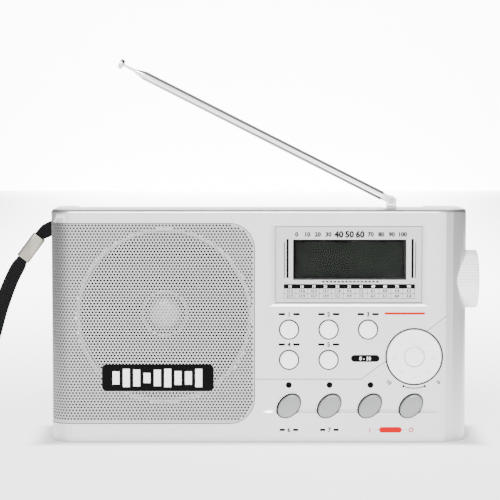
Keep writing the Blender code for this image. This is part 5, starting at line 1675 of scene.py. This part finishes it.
    def crimp(self) -> bpy.types.Object:
        """The crimp: a flat sleeve with round corners and rolled ends, closed on itself.

        Returns:
            The crimp.
        """
        p, ways, _ = self.line()
        knot = self.crimp_knot * self.per_span
        way = ways[knot]
        across, side = np.array([way[2], 0, -way[0]]), np.array([0, 1.0, 0])
        wide, deep = self.pinched / 2 + 1.5 * GAP, self.thick + 1.5 * GAP
        a = np.linspace(0, 2 * pi, 48, endpoint=False)
        round_x = np.sign(np.cos(a)) * np.abs(np.cos(a)) ** 0.35
        round_y = np.sign(np.sin(a)) * np.abs(np.sin(a)) ** 0.5
        half, wall = self.crimp_length / 2, self.crimp_wall
        b = np.linspace(0, pi, 7)
        end = np.stack([wall / 2 + wall / 2 * np.cos(b), half - wall / 2 + wall / 2 * np.sin(b)], axis=1)
        lower = np.stack([wall / 2 - wall / 2 * np.cos(b), -half + wall / 2 - wall / 2 * np.sin(b)], axis=1)
        loop = np.vstack([end, lower])
        loop = np.vstack([loop, loop[:1]])
        rows = np.array([p[knot] + way * t + across * ((wide + g) * round_x)[:, None]
                         + side * ((deep + g) * round_y)[:, None] for g, t in loop])
        return put("bright_crimp", rows.reshape(-1, 3), grid_faces(len(rows), 48), NICKEL,
                   stands_for=("strap_crimp",), crease=60, slot=Slot.NICKEL)


# ---------------------------------------------------------------- sockets and innards

@dataclass
class Innards:
    """The sockets and the batteries."""

    def build(self) -> None:
        """Dress the sockets and the cells."""
        refined("earphone_jack", BLACK_PLASTIC, bevel=0.1 * MM)
        refined("dc_jack", BLACK_PLASTIC)
        for n in range(1, 4):
            refined(f"battery_{n}", CELL_SLEEVE, bevel=0.3 * MM)


# ---------------------------------------------------------------- studio

@dataclass
class Studio:
    """A pale floor that runs into a bright backdrop, soft light from the front, a dimmer
    surround that lets the rounded sides fall off, and the camera."""

    camera_place: tuple[float, float, float] = (-0.00454, -1.043, 0.1667)
    camera_tilt: float = radians(86)
    lens: float = 149.9
    surround: float = 2.6
    dim: float = 0.03
    backdrop: float = 9.0
    # The painted contact shadow round the case's foot: its reach and the least share of the floor's glow left
    # at the foot.
    shade_reach: float = 14.0 * MM
    shade_least: float = 0.1
    lights: tuple[tuple[str, tuple, tuple, float, tuple], ...] = (
        ("key", (-0.12, -1.6, 1.15), (0, 0, 0.06), 44.0, (0.7, 0.5)),
        ("fill", (0.55, -1.7, 0.75), (0, 0, 0.06), 4.0, (0.5, 0.5)),
        ("top", (0.0, 0.5, 1.5), (0, 0.3, 0.0), 5.0, (2.2, 1.4)),
    )

    def surface(self, name: str, shade: float, glow: float, low: Points,
                high: Points) -> bpy.types.Object:
        """A broad plain slab that isn't part of the object.

        Args:
            name: Its name.
            shade: How pale it is, from 0 to 1.
            glow: How strongly it shines by itself.
            low: Its lowest corner.
            high: Its highest corner.

        Returns:
            The slab.
        """
        mesh = bpy.data.meshes.new(name)
        points, faces = boxes([(low, high)])
        mesh.from_pydata(points.tolist(), [], faces)
        plain = Finish(name, (shade, shade, shade), 0.75, relief=0.0, mottle=0.0).material()
        shader = plain.node_tree.nodes["Principled BSDF"]
        shader.inputs["Emission Color"].default_value = (1, 1, 1, 1)
        shader.inputs["Emission Strength"].default_value = glow
        mesh.materials.append(plain)
        slab = bpy.data.objects.new(name, mesh)
        bpy.context.scene.collection.objects.link(slab)
        return slab

    def brighten_back(self, plain: bpy.types.Material) -> None:
        """Let a floor's glow rise smoothly with Object Y, from the front to behind, fall to
        the left and right, and fall close round the case's foot as a painted contact shadow, as
        the product of three smooth steps. The last is of the distance to the foot's rectangle:
        the greater of abs(x) less half the width and abs(y) less half the depth.

        Args:
            plain: The floor's material.
        """
        nodes, links = plain.node_tree.nodes, plain.node_tree.links
        where, parts = nodes.new("ShaderNodeTexCoord"), nodes.new("ShaderNodeSeparateXYZ")
        rise = nodes.new("ShaderNodeMapRange")
        rise.interpolation_type = "SMOOTHSTEP"
        for socket, value in (("From Min", -0.1), ("From Max", 0.9), ("To Min", 2.4), ("To Max", 7.0)):
            rise.inputs[socket].default_value = value
        fall = nodes.new("ShaderNodeMapRange")
        fall.interpolation_type = "SMOOTHSTEP"
        for socket, value in (("From Min", 0.2), ("From Max", 0.6), ("To Min", 1.0), ("To Max", 0.03)):
            fall.inputs[socket].default_value = value
        aside, both = nodes.new("ShaderNodeMath"), nodes.new("ShaderNodeMath")
        aside.operation, both.operation = "ABSOLUTE", "MULTIPLY"
        links.new(parts.outputs["X"], aside.inputs[0])
        links.new(aside.outputs["Value"], fall.inputs["Value"])
        links.new(rise.outputs["Result"], both.inputs[0])
        links.new(fall.outputs["Result"], both.inputs[1])
        links.new(where.outputs["Object"], parts.inputs["Vector"])
        links.new(parts.outputs["Y"], rise.inputs["Value"])
        depth, past_x, past_y, away, shaded = (nodes.new("ShaderNodeMath") for _ in range(5))
        for node, operation in ((depth, "ABSOLUTE"), (past_x, "SUBTRACT"), (past_y, "SUBTRACT"),
                                (away, "MAXIMUM"), (shaded, "MULTIPLY")):
            node.operation = operation
        past_x.inputs[1].default_value, past_y.inputs[1].default_value = -CASE_LEFT, CASE_REAR
        # Painted contact shadow: the floor's glow falls to shade_least of itself at the case's foot.
        near = nodes.new("ShaderNodeMapRange")
        near.interpolation_type = "SMOOTHSTEP"
        for socket, value in (("From Min", 0.0), ("From Max", self.shade_reach),
                              ("To Min", self.shade_least), ("To Max", 1.0)):
            near.inputs[socket].default_value = value
        links.new(parts.outputs["Y"], depth.inputs[0])
        links.new(aside.outputs["Value"], past_x.inputs[0])
        links.new(depth.outputs["Value"], past_y.inputs[0])
        links.new(past_x.outputs["Value"], away.inputs[0])
        links.new(past_y.outputs["Value"], away.inputs[1])
        links.new(away.outputs["Value"], near.inputs["Value"])
        links.new(both.outputs["Value"], shaded.inputs[0])
        links.new(near.outputs["Result"], shaded.inputs[1])
        links.new(shaded.outputs["Value"], nodes["Principled BSDF"].inputs["Emission Strength"])

    def world(self) -> bpy.types.World:
        """A surround that is bright in front and dim elsewhere: its strength rises smoothly
        from the dim share to full as the direction turns to the front, -Y.

        Returns:
            The world.
        """
        made = bpy.data.worlds.new("studio_world")
        made.use_nodes = True
        nodes, links = made.node_tree.nodes, made.node_tree.links
        back = nodes["Background"]
        back.inputs["Color"].default_value = (1, 1, 1, 1)
        where = nodes.new("ShaderNodeTexCoord")
        parts = nodes.new("ShaderNodeSeparateXYZ")
        rise = nodes.new("ShaderNodeMapRange")
        rise.interpolation_type = "SMOOTHSTEP"
        for socket, value in (("From Min", -0.35), ("From Max", -0.95), ("To Min", self.dim),
                              ("To Max", self.surround)):
            rise.inputs[socket].default_value = value
        links.new(where.outputs["Generated"], parts.inputs["Vector"])
        links.new(parts.outputs["Y"], rise.inputs["Value"])
        links.new(rise.outputs["Result"], back.inputs["Strength"])
        return made

    def build(self) -> None:
        """Set the floor, the backdrop, the world, the lights and the camera."""
        floor = self.surface("studio_floor", 0.93, 1.0, [-3, -3, -0.02], [3, 3.02, 0])
        self.brighten_back(floor.data.materials[0])
        self.surface("studio_backdrop", 0.93, self.backdrop, [-0.62, 3.0, 0], [0.62, 3.02, 0.6])
        scene = bpy.context.scene
        scene.world = self.world()
        for name, place, aim, power, size in self.lights:
            data = bpy.data.lights.new(name, "AREA")
            data.energy = power
            data.shape = "RECTANGLE"
            data.size, data.size_y = size
            lamp = bpy.data.objects.new(name, data)
            lamp.location = place
            lamp.rotation_euler = (Vector(aim) - Vector(place)).to_track_quat("-Z", "Y").to_euler()
            scene.collection.objects.link(lamp)
        data = bpy.data.cameras.new("camera")
        data.lens = self.lens
        camera = bpy.data.objects.new("camera", data)
        camera.location = self.camera_place
        camera.rotation_euler = (self.camera_tilt, 0, 0)
        scene.collection.objects.link(camera)
        scene.camera = camera


def main() -> None:
    """Build every sub-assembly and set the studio."""
    logging.basicConfig(level=logging.INFO, format="%(message)s")
    for assembly in (Case(), Grille(), Speaker(), Badge(), Display(), Fascia(), Keys(), VolumeDial(),
                     Tuning(), Antenna(), Strap(), Innards(), Studio()):
        assembly.build()
        LOG.info("built %s", type(assembly).__name__)


if __name__ == "__main__":
    main()
